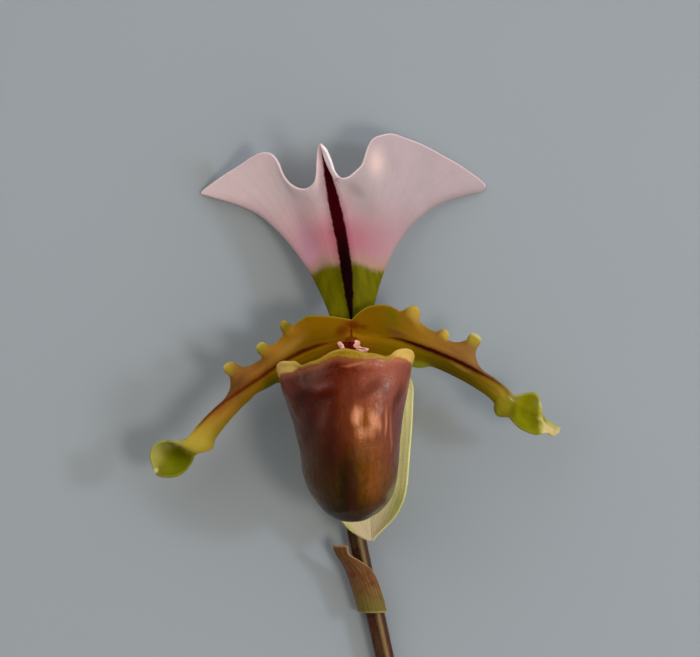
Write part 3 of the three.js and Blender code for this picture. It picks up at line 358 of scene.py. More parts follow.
OVARY_PATH = [
    (0, 13.4, 9.6), (0, 13.4, 8), (0, 12.4, 5.4), (0, 9.8, 3.2), (0, 5.8, 2), (0, 0, 1.72), (0, -8, 1.75),
    (0.2, -16, 1.85), (0.7, -21.6, 2), (1.7, -26.4, 2.1), (4, -36, 2),
]
OVARY_GIRTH = [(0, 2.6), (0.04, 2.2), (0.14, 1.9), (0.4, 1.85), (0.75, 1.6), (1, 1.35)]  # the same
STALK_PATH = [(4.05, -36, 2), (6.2, -46, 1.8), (8.2, -56, 1.65), (9.4, -66, 1.6)]
STALK_RADIUS = 1.65
HAIR_COUNT = {"ovary": 5200, "flower_stalk": 3200}
HAIR_LENGTH, HAIR_RADIUS, HAIR_DEPTH = 0.42, 0.022, 0.05
HAIR_LEAN = 0.35  # how far the hairs' directions stray
STEM_GIRTH = 1.8  # mm round a stem for each radian, for its patterns
HAIRS_END = 0.97  # share of a stem's length beyond which it has no hairs
BRACT = [  # station, x, y, z, radius, and the angles from the top where it starts and ends
    (0, 3.9, -36.6, 2.1, 2.45, -120, 80), (0.3, 2.9, -33, 2.3, 2.5, -115, 75),
    (0.6, 1.7, -29, 2.5, 2.6, -100, 52), (0.76, 0.8, -27.2, 2.75, 2.7, -88, 20),
    (0.86, 0, -25.9, 2.95, 2.85, -80, -6), (1, -0.95, -24.2, 3.2, 2.8, -66, 5),
]

# ---- curves and grids

def profile(rows, at):
    """Smooth curve through rows of (station, value, ...), read at every station of the array."""
    table = np.array(rows, float)
    stations, values = table[:, 0], table[:, 1:]

    def change(column):
        return np.concatenate([column[1:], column[-1:]]) - np.concatenate([column[:1], column[:-1]])

    slopes = change(values) / change(stations)[:, None]
    at = np.clip(np.asarray(at, float), stations[0], stations[-1])
    i = np.clip(np.searchsorted(stations, at, side="right") - 1, 0, len(stations) - 2)
    span = (stations[i + 1] - stations[i])[..., None]
    t = (at - stations[i])[..., None] / span
    a, b = values[i], values[i + 1]
    da, db = slopes[i] * span, slopes[i + 1] * span
    return a + t * (da + t * (3 * (b - a) - 2 * da - db + t * (2 * (a - b) + da + db)))


def columns(rows, at):
    """The values of a table one by one, each read at every station."""
    return np.moveaxis(profile(rows, at), -1, 0)


def read(rows, at):
    """The one value of a two-column table."""
    return profile(rows, at)[..., 0]


def smooth(low, high, x):
    """0 below low, 1 above high and an S between them."""
    t = np.clip((x - low) / (high - low), 0, 1)
    return t * t * (3 - 2 * t)


def bell(x, centre, width):
    """1 at the centre, falling off softly over the width on both sides."""
    return np.exp(-(((x - centre) / width) ** 2))


def patches(x, y, rows):
    """Soft oval spots: rows give x, y, turn in degrees, half length, half width and strength."""
    found = []
    for at_x, at_y, turn, length, width, strength in rows:
        a = math.radians(turn)
        along = (x - at_x) * math.cos(a) + (y - at_y) * math.sin(a)
        across = (y - at_y) * math.cos(a) - (x - at_x) * math.sin(a)
        found.append(strength * bell(np.hypot(along / length, across / width), 0, 1))
    return np.maximum.reduce(found)


def spots(x, y, table):
    """Strength of each patch of a table, without its tone."""
    return {key: patches(x, y, rows) for key, (_, *rows) in table.items()}


def wobble(x, y, seed):
    """Smooth noise of about -1 to 1 over a plane, as a sum of turned sine waves."""
    turns = np.random.default_rng(SEED + seed)
    total = np.zeros(np.broadcast(x, y).shape)
    for octave in range(OCTAVES):
        for _ in range(WAVES):
            angle, phase = turns.uniform(0, 2 * math.pi, 2)
            size = 2**octave * turns.uniform(0.7, 1.3)
            total = total + np.sin(size * (x * math.cos(angle) + y * math.sin(angle)) + phase) / 2**octave
    return total / WAVES


def spread(count, packed, both_ends=True):
    """Stations from 0 to 1, drawn together by the share packed at both ends, or at the far end alone."""
    s = np.linspace(0, 1, count)
    if both_ends:
        return s - packed * np.sin(2 * math.pi * s) / (2 * math.pi)
    return s + packed * (np.sin(math.pi * s / 2) - s)


def net(first, second):
    """Two values of every point of a grid, the first running across it and the second along it."""
    return np.meshgrid(first, second, indexing="ij")


def calmed(values, width):
    """Values averaged along their second axis, over a bell of the given half width in steps."""
    weight = bell(np.arange(-2 * width, 2 * width + 1), 0, width)
    padded = np.pad(values, ((0, 0), (2 * width, 2 * width), (0, 0)), mode="reflect", reflect_type="odd")
    count = values.shape[1]
    return sum(w * padded[:, i : i + count] for i, w in enumerate(weight / weight.sum()))


def turned(u):
    """Turns of 0 to 1 made -0.5 to 0.5, so that 0 stays in the middle."""
    return (u + 0.5) % 1 - 0.5


def unit(vectors):
    return vectors / np.linalg.norm(vectors, axis=-1, keepdims=True)


def normals_of(points, wrap=False):
    """Area-weighted unit normals of a grid of points."""
    p = np.concatenate([points, points[:1]]) if wrap else points
    area = np.cross(p[1:, 1:] - p[:-1, :-1], p[:-1, 1:] - p[1:, :-1])
    total = np.zeros_like(p)
    for i in (0, 1):
        for j in (0, 1):
            total[i : i + area.shape[0], j : j + area.shape[1]] += area
    if wrap:
        total[0] += total[-1]
        total = total[:-1]
    return total / np.maximum(np.linalg.norm(total, axis=-1, keepdims=True), 1e-12)


def lengths(points, axis):
    """Arc length from the start of the grid along one axis."""
    step = np.linalg.norm(np.diff(points, axis=axis), axis=-1)
    pad = [(0, 0), (0, 0)]
    pad[axis] = (1, 0)
    return np.cumsum(np.pad(step, pad), axis=axis)


def flow_of(grid):
    """Place in mm across and along a grid, for patterns that follow its veins."""
    across, along = lengths(grid, 0), lengths(grid, 1)
    return np.stack([across - across[len(across) // 2], along, np.zeros_like(along)], -1)


def vein_comb(t, count, sharpness):
    """Ridges evenly spaced over t from -1 to 1, each 1 on its crest."""
    return np.abs(np.cos(math.pi * count * (t + 1) / 2)) ** sharpness


# ---- meshes

def add_object(name, data):
    made = bpy.data.objects.new(name, data)
    bpy.context.scene.collection.objects.link(made)
    return made


def make_piece(node, points, faces, fields, material, slot=None, lowest=FLOOR_CLEARANCE):
    """Piece that stands for one CAD node, from points in mm, none of them below the lowest height."""
    name = node + "_skin"
    points[:, 2] = np.maximum(points[:, 2], lowest)
    used = np.unique(np.concatenate([block.ravel() for block in faces]))
    numbers = np.zeros(len(points), int)
    numbers[used] = np.arange(len(used))
    corners = [tuple(dict.fromkeys(row)) for block in faces for row in numbers[block].tolist()]
    mesh = bpy.data.meshes.new(name)
    mesh.from_pydata((points[used] * MM).tolist(), [], [row for row in corners if len(row) > 2])
    for key, value in fields.items():
        kind, part = ("FLOAT_VECTOR", "vector") if value.ndim == 2 else ("FLOAT", "value")
        attribute = mesh.attributes.new(key, kind, "POINT")
        attribute.data.foreach_set(part, value[used].astype(np.float32).ravel())
    mesh.polygons.foreach_set("use_smooth", [True] * len(mesh.polygons))
    mesh.materials.append(material)
    mesh.validate()
    mesh.update()
    piece = add_object(name, mesh)
    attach(piece, "root")
    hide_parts(node)


def grid_faces(index, wrap=False):
    """Quads of a grid of vertex numbers."""
    index = np.concatenate([index, index[:1]]) if wrap else index
    return np.stack([index[:-1, :-1], index[1:, :-1], index[1:, 1:], index[:-1, 1:]], -1).reshape(-1, 4)


def doubled(fields):
    """Fields of a grid for two skins, one after the other, with 'behind' telling them apart."""
    made = {}
    for key, value in fields.items():
        flat = value.reshape(-1, 3) if value.ndim == 3 else value.ravel()
        made[key] = np.concatenate([flat, flat])
    made["behind"] = np.repeat([0.0, 1.0], len(flat))
    return made


def leaf(node, grid, thickness, relief, fields, material, foot=True, origin=HEART, **place):
    """Piece of two skins about a grid, which meet in a rounded edge; a start with no foot is cut square.

    Its thickness and its relief are in mm, about a grid placed from the origin.
    """
    n, m = grid.shape[:2]
    across, along = lengths(grid, 0), lengths(grid, 1)
    edge = np.minimum.reduce([across, across[-1:] - across, along[:, -1:] - along] + [along] * foot)
    rise = np.clip(edge / ROUNDING[node], 0, 1)
    normal = normals_of(grid)
    normal *= np.sign(normal[..., 2].mean())
    half = normal * (thickness / 2 * np.sqrt(1 - (1 - rise) ** 2))[..., None]
    shift = normal * (relief * rise)[..., None] + origin
    above = np.arange(n * m).reshape(n, m)
    shut = np.zeros((n, m), bool)
    shut[[0, -1]] = True
    shut[:, -1] = True
    shut[:, 0] |= foot
    below = np.where(shut, above, above + n * m)
    faces = [grid_faces(above), grid_faces(below)[:, ::-1]]
    if not foot:
        faces.append(np.stack([above[:-1, 0], below[:-1, 0], below[1:, 0], above[1:, 0]], -1))
    if np.cross(grid[1, 1] - grid[0, 0], grid[0, 1] - grid[1, 0]) @ normal[0, 0] <= 0:
        faces = [block[:, ::-1] for block in faces]
    points = np.concatenate([(grid + half + shift).reshape(-1, 3), (grid - half + shift).reshape(-1, 3)])
    fields = doubled({"flow": flow_of(grid), "rim": edge, **fields})
    make_piece(node, points, faces, fields, material, **place)


def tube(node, path, radius):
    """Grid of points round a path, of a radius(along, angle), with its centres, angles and stations."""
    sides, rings = GRID[node]
    p = np.array(path, float)
    far = np.concatenate([[0], np.cumsum(np.linalg.norm(np.diff(p, axis=0), axis=1))])
    along = np.linspace(0, 1, rings)
    centre = profile(np.column_stack([far / far[-1], p]), along)
    tangent = unit(np.gradient(centre, axis=0))
    first = unit(np.array([1.0, 0, 0]) - tangent * tangent[:, :1])
    second = np.cross(tangent, first)
    a, s = net(np.linspace(0, 2 * math.pi, sides, endpoint=False), along)
    grid = centre + radius(s, a)[..., None] * (np.cos(a)[..., None] * first + np.sin(a)[..., None] * second)
    return grid, centre, a, s


def tube_faces(node):
    """Faces of a tube's wall, with its two ends closed by fans to the two centres that follow it."""
    sides, rings = GRID[node]
    index = np.arange(sides * rings).reshape(sides, rings)
    following = np.roll(index, -1, axis=0)
    start = np.full(sides, sides * rings)
    first = np.stack([index[:, 0], following[:, 0], start], -1)
    last = np.stack([following[:, -1], index[:, -1], start + 1], -1)
    return [grid_faces(index, wrap=True), first[:, ::-1], last[:, ::-1]]


def hairs(roots, directions, seed):
    """Short three-sided tapering hairs. Returns points and faces numbered from 0."""
    turns = np.random.default_rng(SEED + seed)
    count = len(roots)
    lean = unit(directions + turns.normal(0, HAIR_LEAN, (count, 3)))
    side = unit(np.cross(lean, turns.normal(0, 1, (count, 3))))
    other = np.cross(lean, side)
    tips = roots + HAIR_LENGTH * turns.uniform(0.6, 1.1, (count, 1)) * lean
    corners = [
        roots + HAIR_RADIUS * (math.cos(a) * side + math.sin(a) * other) - HAIR_DEPTH * lean
        for a in (0, 2 * math.pi / 3, 4 * math.pi / 3)
    ]
    base = 4 * np.arange(count)[:, None]
    faces = np.concatenate([base + np.array(f) for f in ([0, 1, 3], [1, 2, 3], [2, 0, 3], [0, 2, 1])])
    return np.stack([*corners, tips], 1).reshape(-1, 3), faces


# ---- materials

MIX_A, MIX_B, MIX_RESULT = 6, 7, 2  # the colour sockets of a Mix node
NOISE_ROUGHNESS = 0.55
NOISE_LOW, NOISE_HIGH = 0.3, 0.7  # most of a noise lies between them
PATCH_LOW, PATCH_HIGH, PATCH_SHARE = 0.1, 0.9, 0.85
PETAL_FLESH = {
    "Subsurface Weight": 0.12, "Subsurface Radius": (0.9, 0.5, 0.3), "Subsurface Scale": MM,
    "Specular IOR Level": 0.025,
}
POUCH_FLESH = {
    "Subsurface Weight": 0.05, "Subsurface Radius": (1, 0.4, 0.2), "Subsurface Scale": MM,
    "Specular IOR Level": 0.34, "Specular Tint": (1, 0.68, 0.46, 1),
}
# Rows of tints are a place from 0 to 1, then red, green and blue of 0 to 255.
LEFT_TINTS = {
    # About station 0.86 the dark green is partly the tip's colour and partly painted shade in the hollow of
    # the cupped tip.
    "upper": [
        (0.06, 126, 86, 0), (0.15, 130, 88, 0), (0.28, 168, 114, 32), (0.41, 152, 98, 34),
        (0.53, 132, 84, 38), (0.66, 104, 80, 42), (0.76, 146, 132, 64), (0.83, 160, 148, 70),
        (0.86, 106, 100, 0), (0.93, 122, 120, 6), (0.98, 140, 132, 30),
    ],
    # Near the foot the lower half is painted lighter, as painted light against the pouch's shade there. At
    # 0.855 the dark green is partly painted shade in the cup.
    "lower": [
        (0.06, 156, 98, 4), (0.15, 178, 126, 6), (0.28, 176, 130, 6), (0.41, 162, 122, 10),
        (0.53, 156, 112, 32), (0.62, 186, 132, 44), (0.7, 182, 146, 48), (0.83, 170, 148, 50),
        (0.855, 110, 110, 0), (0.93, 122, 124, 6), (0.98, 116, 108, 22),
    ],
    "line": [(0, 120, 60, 0), (0.2, 98, 40, 4), (0.55, 110, 44, 14), (0.75, 104, 50, 18)],
    "green": (138, 114, 10),
    "pale": (160, 156, 74),
    "lip": (166, 154, 70),
}
RIGHT_TINTS = {
    "upper": [
        (0.06, 124, 84, 0), (0.15, 118, 82, 0), (0.28, 140, 98, 20), (0.41, 142, 96, 38), (0.53, 142, 98, 50),
        (0.6, 126, 84, 42), (0.67, 140, 116, 64), (0.72, 152, 138, 60), (0.78, 152, 144, 2),
        (0.877, 158, 152, 26), (0.899, 200, 180, 112), (1, 212, 188, 128),
    ],
    # Near the foot the lower half is painted lighter, as painted light against the pouch's shade there.
    "lower": [
        (0.06, 150, 100, 4), (0.15, 146, 106, 2), (0.28, 112, 86, 2), (0.41, 96, 78, 4), (0.53, 108, 84, 8),
        (0.6, 130, 102, 16), (0.67, 138, 118, 24), (0.73, 122, 116, 8), (0.8, 130, 126, 0),
        (0.877, 134, 132, 14), (0.899, 200, 180, 110), (1, 212, 188, 128),
    ],
    "line": [(0, 70, 24, 2), (0.3, 46, 6, 2), (0.55, 58, 8, 4), (0.75, 96, 50, 24)],
    "green": (98, 90, 6),
    "pale": (158, 152, 78),
    "lip": (186, 182, 112),
}
POUCH_TINTS = {
    "top": [
        (0, 100, 38, 30), (0.2, 70, 14, 8), (0.4, 80, 20, 4), (0.52, 94, 24, 2), (0.7, 146, 72, 50),
        (0.85, 150, 76, 56), (1, 128, 62, 46),
    ],
    "middle": [
        (0, 84, 42, 36), (0.2, 72, 32, 24), (0.38, 80, 32, 18), (0.5, 104, 48, 16), (0.66, 140, 72, 34),
        (0.84, 124, 56, 34), (1, 104, 50, 44),
    ],
    "low": [
        (0, 84, 62, 46), (0.22, 72, 50, 32), (0.4, 62, 42, 6), (0.49, 42, 26, 0), (0.62, 88, 56, 4),
        (0.8, 116, 66, 4), (1, 98, 60, 30),
    ],
}


def srgb(r, g, b):
    """Linear colour of an sRGB one given in 0 to 255."""
    def linear(c):
        c /= 255
        return c / 12.92 if c <= 0.04045 else ((c + 0.055) / 1.055) ** 2.4

    return (linear(r), linear(g), linear(b), 1.0)


class Nodes:
    """Adds nodes to a tree. Their inputs are sockets, plain values or the names of a mesh's fields."""

    def __init__(self, tree):
        self.tree = tree

    def plug(self, node, inputs):
        for key, value in inputs.items():
            if isinstance(value, str):
                value = self.node("Attribute", output="Fac", attribute_name=value)
            if isinstance(value, bpy.types.NodeSocket):
                self.tree.links.new(value, node.inputs[key])
            else:
                node.inputs[key].default_value = value

    def node(self, kind, inputs=None, output=0, **settings):
        """One output of a new node."""
        node = self.tree.nodes.new("ShaderNode" + kind)
        for key, value in settings.items():
            setattr(node, key, value)
        self.plug(node, inputs or {})
        return node.outputs[output]

    def sum(self, a, b, operation="ADD"):
        return self.node("Math", {0: a, 1: b}, operation=operation)

    def times(self, a, b):
        return self.sum(a, b, "MULTIPLY")

    def scaled(self, value, start, end, low, high, kind="LINEAR"):
        """Runs from low to high while the value runs from start to end."""
        ends = {"Value": value, "From Min": start, "From Max": end, "To Min": low, "To Max": high}
        return self.node("MapRange", ends, "Result", interpolation_type=kind)

    def ramp(self, value, stops):
        """Colour that runs through rows of (place, linear colour) as the value goes from 0 to 1."""
        colour = self.node("ValToRGB", {"Fac": value}, "Color")
        elements = colour.node.color_ramp.elements
        elements[0].position, elements[0].color = stops[0]
        elements[1].position, elements[1].color = stops[-1]
        for place, tone in stops[1:-1]:
            elements.new(place).color = tone
        return colour


class Paint(Nodes):
    """One procedural material, painted in layers. A tone is a socket or (red, green, blue) of 0 to 255."""

    def __init__(self, name, roughness, sockets):
        self.material = bpy.data.materials.new(name)
        self.material.use_nodes = True
        super().__init__(self.material.node_tree)
        self.shader = self.tree.nodes["Principled BSDF"]
        self.plug(self.shader, {"Roughness": roughness, **sockets})
        self.place = self.node("TexCoord", output="Object")
        self.colour = None

    def texture(self, kind, size, stretch, inputs, output, **settings):
        """Texture of features of a size in mm, stretched across and along the veins where that is given."""
        where, scale = self.place, 1 / MM
        if stretch:
            flow = self.node("Attribute", output="Vector", attribute_name="flow")
            where, scale = self.node("VectorMath", {0: flow, 1: (*stretch, 1)}, operation="MULTIPLY"), 1
        return self.node(kind, {"Vector": where, "Scale": scale / size, **inputs}, output, **settings)

    def noise(self, size, detail=3, stretch=None):
        """Noise of 0 to 1."""
        inputs = {"Detail": detail, "Roughness": NOISE_ROUGHNESS}
        return self.texture("TexNoise", size, stretch, inputs, "Fac")

    def cells(self, size, stretch=None, feature="F1"):
        """Distance from the middle of a cell, or from its walls."""
        return self.texture("TexVoronoi", size, stretch, {}, "Distance", feature=feature)

    def ripple(self, size, height, detail=3, stretch=None):
        """Noise about 0, of a height."""
        return self.times(self.sum(self.noise(size, detail, stretch), -0.5), height)

    def step(self, value, low, high):
        """0 at low and 1 at high, smoothly; low may be the larger."""
        ends = min(low, high), max(low, high)
        return self.scaled(value, *ends, float(low > high), float(low < high), "SMOOTHSTEP")

    def mix(self, mask, a, b):
        """Tone a where the mask is 0 and b where it is 1."""
        a, b = (srgb(*tone) if isinstance(tone, tuple) else tone for tone in (a, b))
        inputs = {"Factor": mask, MIX_A: a, MIX_B: b}
        return self.node("Mix", inputs, MIX_RESULT, data_type="RGBA", clamp_factor=True)

    def blend(self, noise, a, b, low=NOISE_LOW, high=NOISE_HIGH):
        """Tone a where a noise is low and b where it is high."""
        return self.mix(self.step(noise, low, high), a, b)

    def tints(self, value, rows):
        """Tone that runs through rows of (place, red, green, blue)."""
        return self.ramp(value, [(place, srgb(*tone)) for place, *tone in rows])

    def lay(self, tone, mask, share=1):
        """Covers the colour so far with a share of a tone, where the mask is 1."""
        self.colour = self.mix(mask if share == 1 else self.times(mask, share), self.colour, tone)

    def lay_patches(self, table, ragged):
        """Covers the colour with the tone of each of a table's patches, with ragged edges."""
        for key, (tone, *_) in table.items():
            self.lay(tone, self.step(self.sum(key, ragged), PATCH_LOW, PATCH_HIGH), PATCH_SHARE)

    def mottle(self, size, amount):
        """Lets the colour wander lighter and darker by an amount."""
        value = self.scaled(self.noise(size, 4), NOISE_LOW, NOISE_HIGH, 1 - amount, 1 + amount)
        self.colour = self.node("HueSaturation", {"Color": self.colour, "Value": value}, "Color")

    def finish(self, relief, height, **sockets):
        """The material, with a relief of a height in mm."""
        bump = self.node("Bump", {"Distance": height * MM, "Height": relief}, "Normal")
        self.plug(self.shader, {"Base Color": self.colour, "Normal": bump, **sockets})
        return self.material


def dorsal_material():
    p = Paint("dorsal_satin", 0.5, PETAL_FLESH)
    broad = p.step(p.noise(6, 2), 0.35, 0.68)
    # The left half is painted lighter than the right. This is partly the sepal's own colour and partly
    # painted light where the lamps fall weaker on the left.
    left = p.mix(broad, (235, 206, 202), (242, 210, 209))
    right = p.mix(broad, (181, 159, 155), (188, 163, 160))
    p.colour = p.mix("right", left, right)
    p.lay(p.mix("right", (206, 124, 130), (176, 104, 112)), "pink")
    p.lay((206, 138, 166), "magenta", 0.55)
    p.lay((176, 128, 138), "vein", 0.07)
    p.lay((150, 132, 122), "shade", 0.8)
    # painted highlight: a warm light patch on the right hump
    p.lay((236, 202, 188), "warm", 0.8)
    # painted highlight along the left edge of the apex
    p.lay((255, 220, 214), "beak_highlight")
    base = p.sum("green", p.ripple(0.5, 0.9, 4))
    p.lay((172, 134, 108), p.step(base, -3.4, 0), 0.9)
    p.lay(p.blend(p.noise(1.4, 3, (1, 0.25)), (94, 88, 0), (112, 104, 2)), p.step(base, -0.8, 0.9))
    # painted highlight: a bright thin margin where light catches the thin edge
    p.lay((238, 208, 208), p.step("rim", 0.42, 0.08), 0.6)
    stripe = p.sum("stripe", p.sum(p.ripple(0.5, 0.34, 3, (1, 0.7)), p.ripple(2.2, 0.4)))
    halo = p.mix(p.step(base, -0.6, 0.4), (128, 44, 62), (58, 50, 0))
    p.lay(halo, p.step(stripe, 1.3, -0.1), 0.46)
    ink = p.mix(p.step("green", -9, 0), (56, 0, 5), (20, 0, 1))
    p.lay(ink, p.step(stripe, 0.14, -0.2))
    flap = p.mix(p.step("flap", 0, 0.6), (255, 206, 203), (255, 230, 228))
    p.lay(flap, p.step("flap", -0.1, 0.06))
    back = p.mix(p.step("stripe", 0.5, -0.2), (214, 190, 192), (120, 60, 70))
    p.lay(p.mix(p.step("green", -1, 0.6), back, (128, 126, 40)), "behind")
    p.mottle(0.35, 0.03)
    return p.finish(p.sum(p.noise(0.18), p.times(p.noise(0.9, 2, (1, 0.2)), 1.2)), 0.02)


def petal_material(name, tints):
    """Waxy petal: tints gives the colours of its upper half, lower half and midline from foot to tip."""
    p = Paint(name, 0.42, PETAL_FLESH)
    station = p.sum("station", p.ripple(0.9, 0.05, 4, (1, 0.16)))
    # the lower margin turns darker olive, partly its colour and partly painted shade
    lower = p.mix(p.times("green_and_shade_side", 0.7), p.tints(station, tints["lower"]), tints["green"])
    upper = p.mix(p.times("pale_side", 0.8), p.tints(station, tints["upper"]), tints["pale"])
    p.colour = p.mix("upper", lower, upper)
    # painted highlight along the middle of the neck
    p.lay((150, 88, 36), "glow")
    # the olive patches also hold painted shade and the cream ones painted highlights
    p.lay_patches(PETAL_PATCHES, p.ripple(0.9, 0.5, 4, (1, 0.3)))
    p.lay(tints["lip"], "lip")
    p.lay(p.mix("warmth", (146, 136, 26), (190, 152, 60)), "knob")
    p.lay(p.mix("warmth", (204, 200, 140), (214, 182, 102)), "knob_tip")
    rim = p.mix(p.step("station", 0.7, 0.8), (158, 136, 40), (160, 160, 84))
    p.lay(rim, p.times(p.step("rim", 0.5, 0.1), "pale_rim"))
    # dark red-brown at the feet, partly their colour and partly painted shade where they meet
    p.lay((104, 38, 0), p.step(p.sum("heart", p.ripple(0.9, 0.3)), 0.05, 0.95), 0.9)
    line = p.sum("line", p.ripple(0.6, 0.3, 3, (1, 0.5)))
    p.lay((104, 44, 10), p.step(line, 0.7, -0.1), 0.5)
    p.lay(p.tints(station, tints["line"]), p.step(line, 0.22, -0.2))
    p.lay(p.mix("upper", (118, 106, 16), (134, 108, 28)), "behind")
    p.mottle(0.3, 0.04)
    return p.finish(p.sum(p.noise(0.16), p.times(p.noise(0.55, 4, (1, 0.16)), 1.3)), 0.03)


def synsepalum_material():
    p = Paint("synsepalum_satin", 0.5, PETAL_FLESH)
    streak = p.noise(0.6, 4, (1, 0.12))
    # The blade is painted much lighter than its own cream-yellow, as painted light where the pouch shades it.
    p.colour = p.blend(streak, (250, 238, 160), (255, 247, 178))
    p.lay((216, 192, 150), "cream")
    p.lay((142, 150, 56), "vein", 0.16)
    p.lay((186, 188, 92), "lime", 0.7)
    p.lay((176, 168, 78), "brink", 0.5)
    p.lay((120, 120, 40), "foot", 0.8)
    p.mottle(0.4, 0.06)
    return p.finish(p.sum(p.noise(0.2), p.times(streak, 1.4)), 0.03)


def pouch_material():
    p = Paint("pouch_gloss", 0.3, POUCH_FLESH)
    wander, streaks = p.ripple(3.2, 1), p.ripple(0.8, 1, 4, (1, 0.1))
    side = p.sum(p.sum("side", p.times(wander, 0.22)), p.times(streaks, 0.14))
    depth = p.sum(p.sum("depth", p.times(wander, 0.12)), p.times(streaks, 0.05))
    p.colour = p.tints(side, POUCH_TINTS["top"])
    p.lay(p.tints(side, POUCH_TINTS["middle"]), p.step(depth, 0.2, 0.42))
    p.lay(p.tints(side, POUCH_TINTS["low"]), p.step(depth, 0.42, 0.72))
    p.lay((26, 20, 2), p.step(depth, 0.74, 0.96))
    # besides the pouch's colours, the patches hold painted sheen, shade, glints, reflection and highlights
    p.lay_patches(POUCH_PATCHES, p.times(streaks, 0.5))
    walls = p.step(p.cells(1.7, (1, 0.45), "DISTANCE_TO_EDGE"), 0.13, 0)
    veins = p.times(walls, p.step(p.noise(2.4), 0.4, 0.62))
    p.lay((58, 26, 6), p.times(veins, p.step("depth", 0.4, 0.6)), 0.35)
    p.lay((44, 14, 6), "vein", 0.12)
    p.lay((32, 20, 2), p.times("seam", p.step("depth", 0.45, 0.75)), 0.8)
    p.lay((134, 108, 48), "reverse", 0.8)
    edge = p.sum("band", p.ripple(1.2, 0.8))
    band = p.blend(p.noise(1.1, 3, (0.4, 1)), (148, 112, 12), (164, 130, 30))
    p.lay((160, 92, 56), p.step(edge, 1.8, 0.2), 0.55)
    p.lay(p.mix("ear", band, (208, 168, 80)), p.step(edge, 0.3, -0.25))
    dots = p.times(p.step(p.cells(1.1, (1, 0.6)), 0.32, 0.2), p.step("rim", 1, 4))
    p.lay(p.mix(dots, (140, 112, 24), (96, 30, 30)), "behind")
    p.mottle(0.45, 0.06)
    gloss = p.scaled(p.noise(1.4, 4, (1, 0.6)), 0, 1, 0.13, 0.32)
    roughness = p.sum(gloss, p.times(p.step("ember", 0.2, 0.8), 0.3))
    grain = p.sum(p.times(p.noise(0.35, 4), 0.8), p.times(p.noise(0.8, 3, (1, 0.6)), 2))
    return p.finish(grain, 0.055, Roughness=roughness)


def staminode_material():
    p = Paint("staminode_wax", 0.36, PETAL_FLESH)
    edge = p.sum("middle", p.ripple(0.5, 0.4))
    pink = p.blend(p.noise(0.6), (240, 154, 136), (250, 196, 176), 0.35, 0.65)
    p.colour = p.mix(p.step(edge, 0.62, 0.3), pink, (92, 12, 4))
    p.lay((40, 2, 4), "middle_line", 0.6)
    p.lay(p.mix(p.step(edge, 0.5, 0.2), pink, (120, 40, 36)), "behind")
    p.mottle(0.3, 0.08)
    return p.finish(p.noise(0.15), 0.02)


def column_material():
    p = Paint("column_wax", 0.4, {**PETAL_FLESH, "Coat Weight": 0.15, "Coat Roughness": 0.3})
    p.colour = p.blend(p.noise(0.7), (122, 64, 12), (100, 40, 10), 0.35, 0.65)
    p.lay(p.blend(p.noise(0.25), (214, 178, 78), (232, 204, 112), 0.35, 0.65), "anther")
    return p.finish(p.noise(0.15, 4), 0.04)


def stem_material(name, dark, tan, red):
    p = Paint(name, 0.45, {"Sheen Weight": 0.06, "Sheen Roughness": 0.4, "Specular IOR Level": 0.12})
    streak = p.noise(0.5, 4, (1, 0.06))
    p.colour = p.blend(streak, dark, tan)
    p.lay(tan, "rib", 0.55)
    p.lay(red, p.step(p.noise(2.2), 0.42, 0.66), 0.6)
    p.lay((152, 118, 66), "crest", 0.7)
    p.lay((150, 120, 96), "hair")
    p.lay((176, 178, 120), "cut")
    p.lay((112, 120, 62), p.times("cut", p.step(p.cells(0.55), 0.3, 0.18)))
    p.mottle(0.4, 0.1)
    return p.finish(p.sum(p.noise(0.2), p.times(streak, 1.5)), 0.05)


def bract_material():
    p = Paint("bract_paper", 0.6, {**PETAL_FLESH, "Sheen Weight": 0.2, "Sheen Roughness": 0.4})
    streak = p.noise(0.45, 4, (1, 0.08))
    p.colour = p.blend(streak, (104, 64, 34), (134, 92, 54))
    p.lay((84, 46, 22), "vein", 0.5)
    p.lay((92, 34, 22), p.step(p.noise(1.6), 0.5, 0.7), 0.6)
    p.lay((110, 104, 44), "foot", 0.7)
    p.lay((190, 150, 96), p.step("rim", 0.5, 0.1), 0.6)
    p.mottle(0.35, 0.1)
    return p.finish(p.sum(p.noise(0.25, 4), p.times(streak, 2)), 0.05)


def floor_material():
    p = Paint("pale_floor", 0.85, {})
    p.colour = p.mix(p.noise(60, 2), (155, 159, 159), (159, 163, 163))
    return p.finish(p.noise(0.8), 0.01)


# ---- the bloom

def dorsal_grid():
    """Grid of the dorsal sepal, and its places from side to side (-1 to 1) and from foot to tip (0 to 1)."""
    across, along = GRID["dorsal_sepal"]
    u, v = net(np.linspace(0, 1, across), spread(along, 0.75, both_ends=False))
    t = 2 * u - 1
    a, b, c, d = (profile(rows, t) for rows in (VEIN_FOOT, VEIN_RISE, VEIN_REACH, TOP_MARGIN))
    w = v[..., None]
    grid = a * (1 - w) ** 3 + 3 * b * w * (1 - w) ** 2 + 3 * c * w**2 * (1 - w) + d * w**3
    calm = calmed(grid.swapaxes(0, 1), VEIN_SPACING).swapaxes(0, 1)
    return grid + (calm - grid) * (1 - smooth(0.7, 1, v))[..., None], t, v


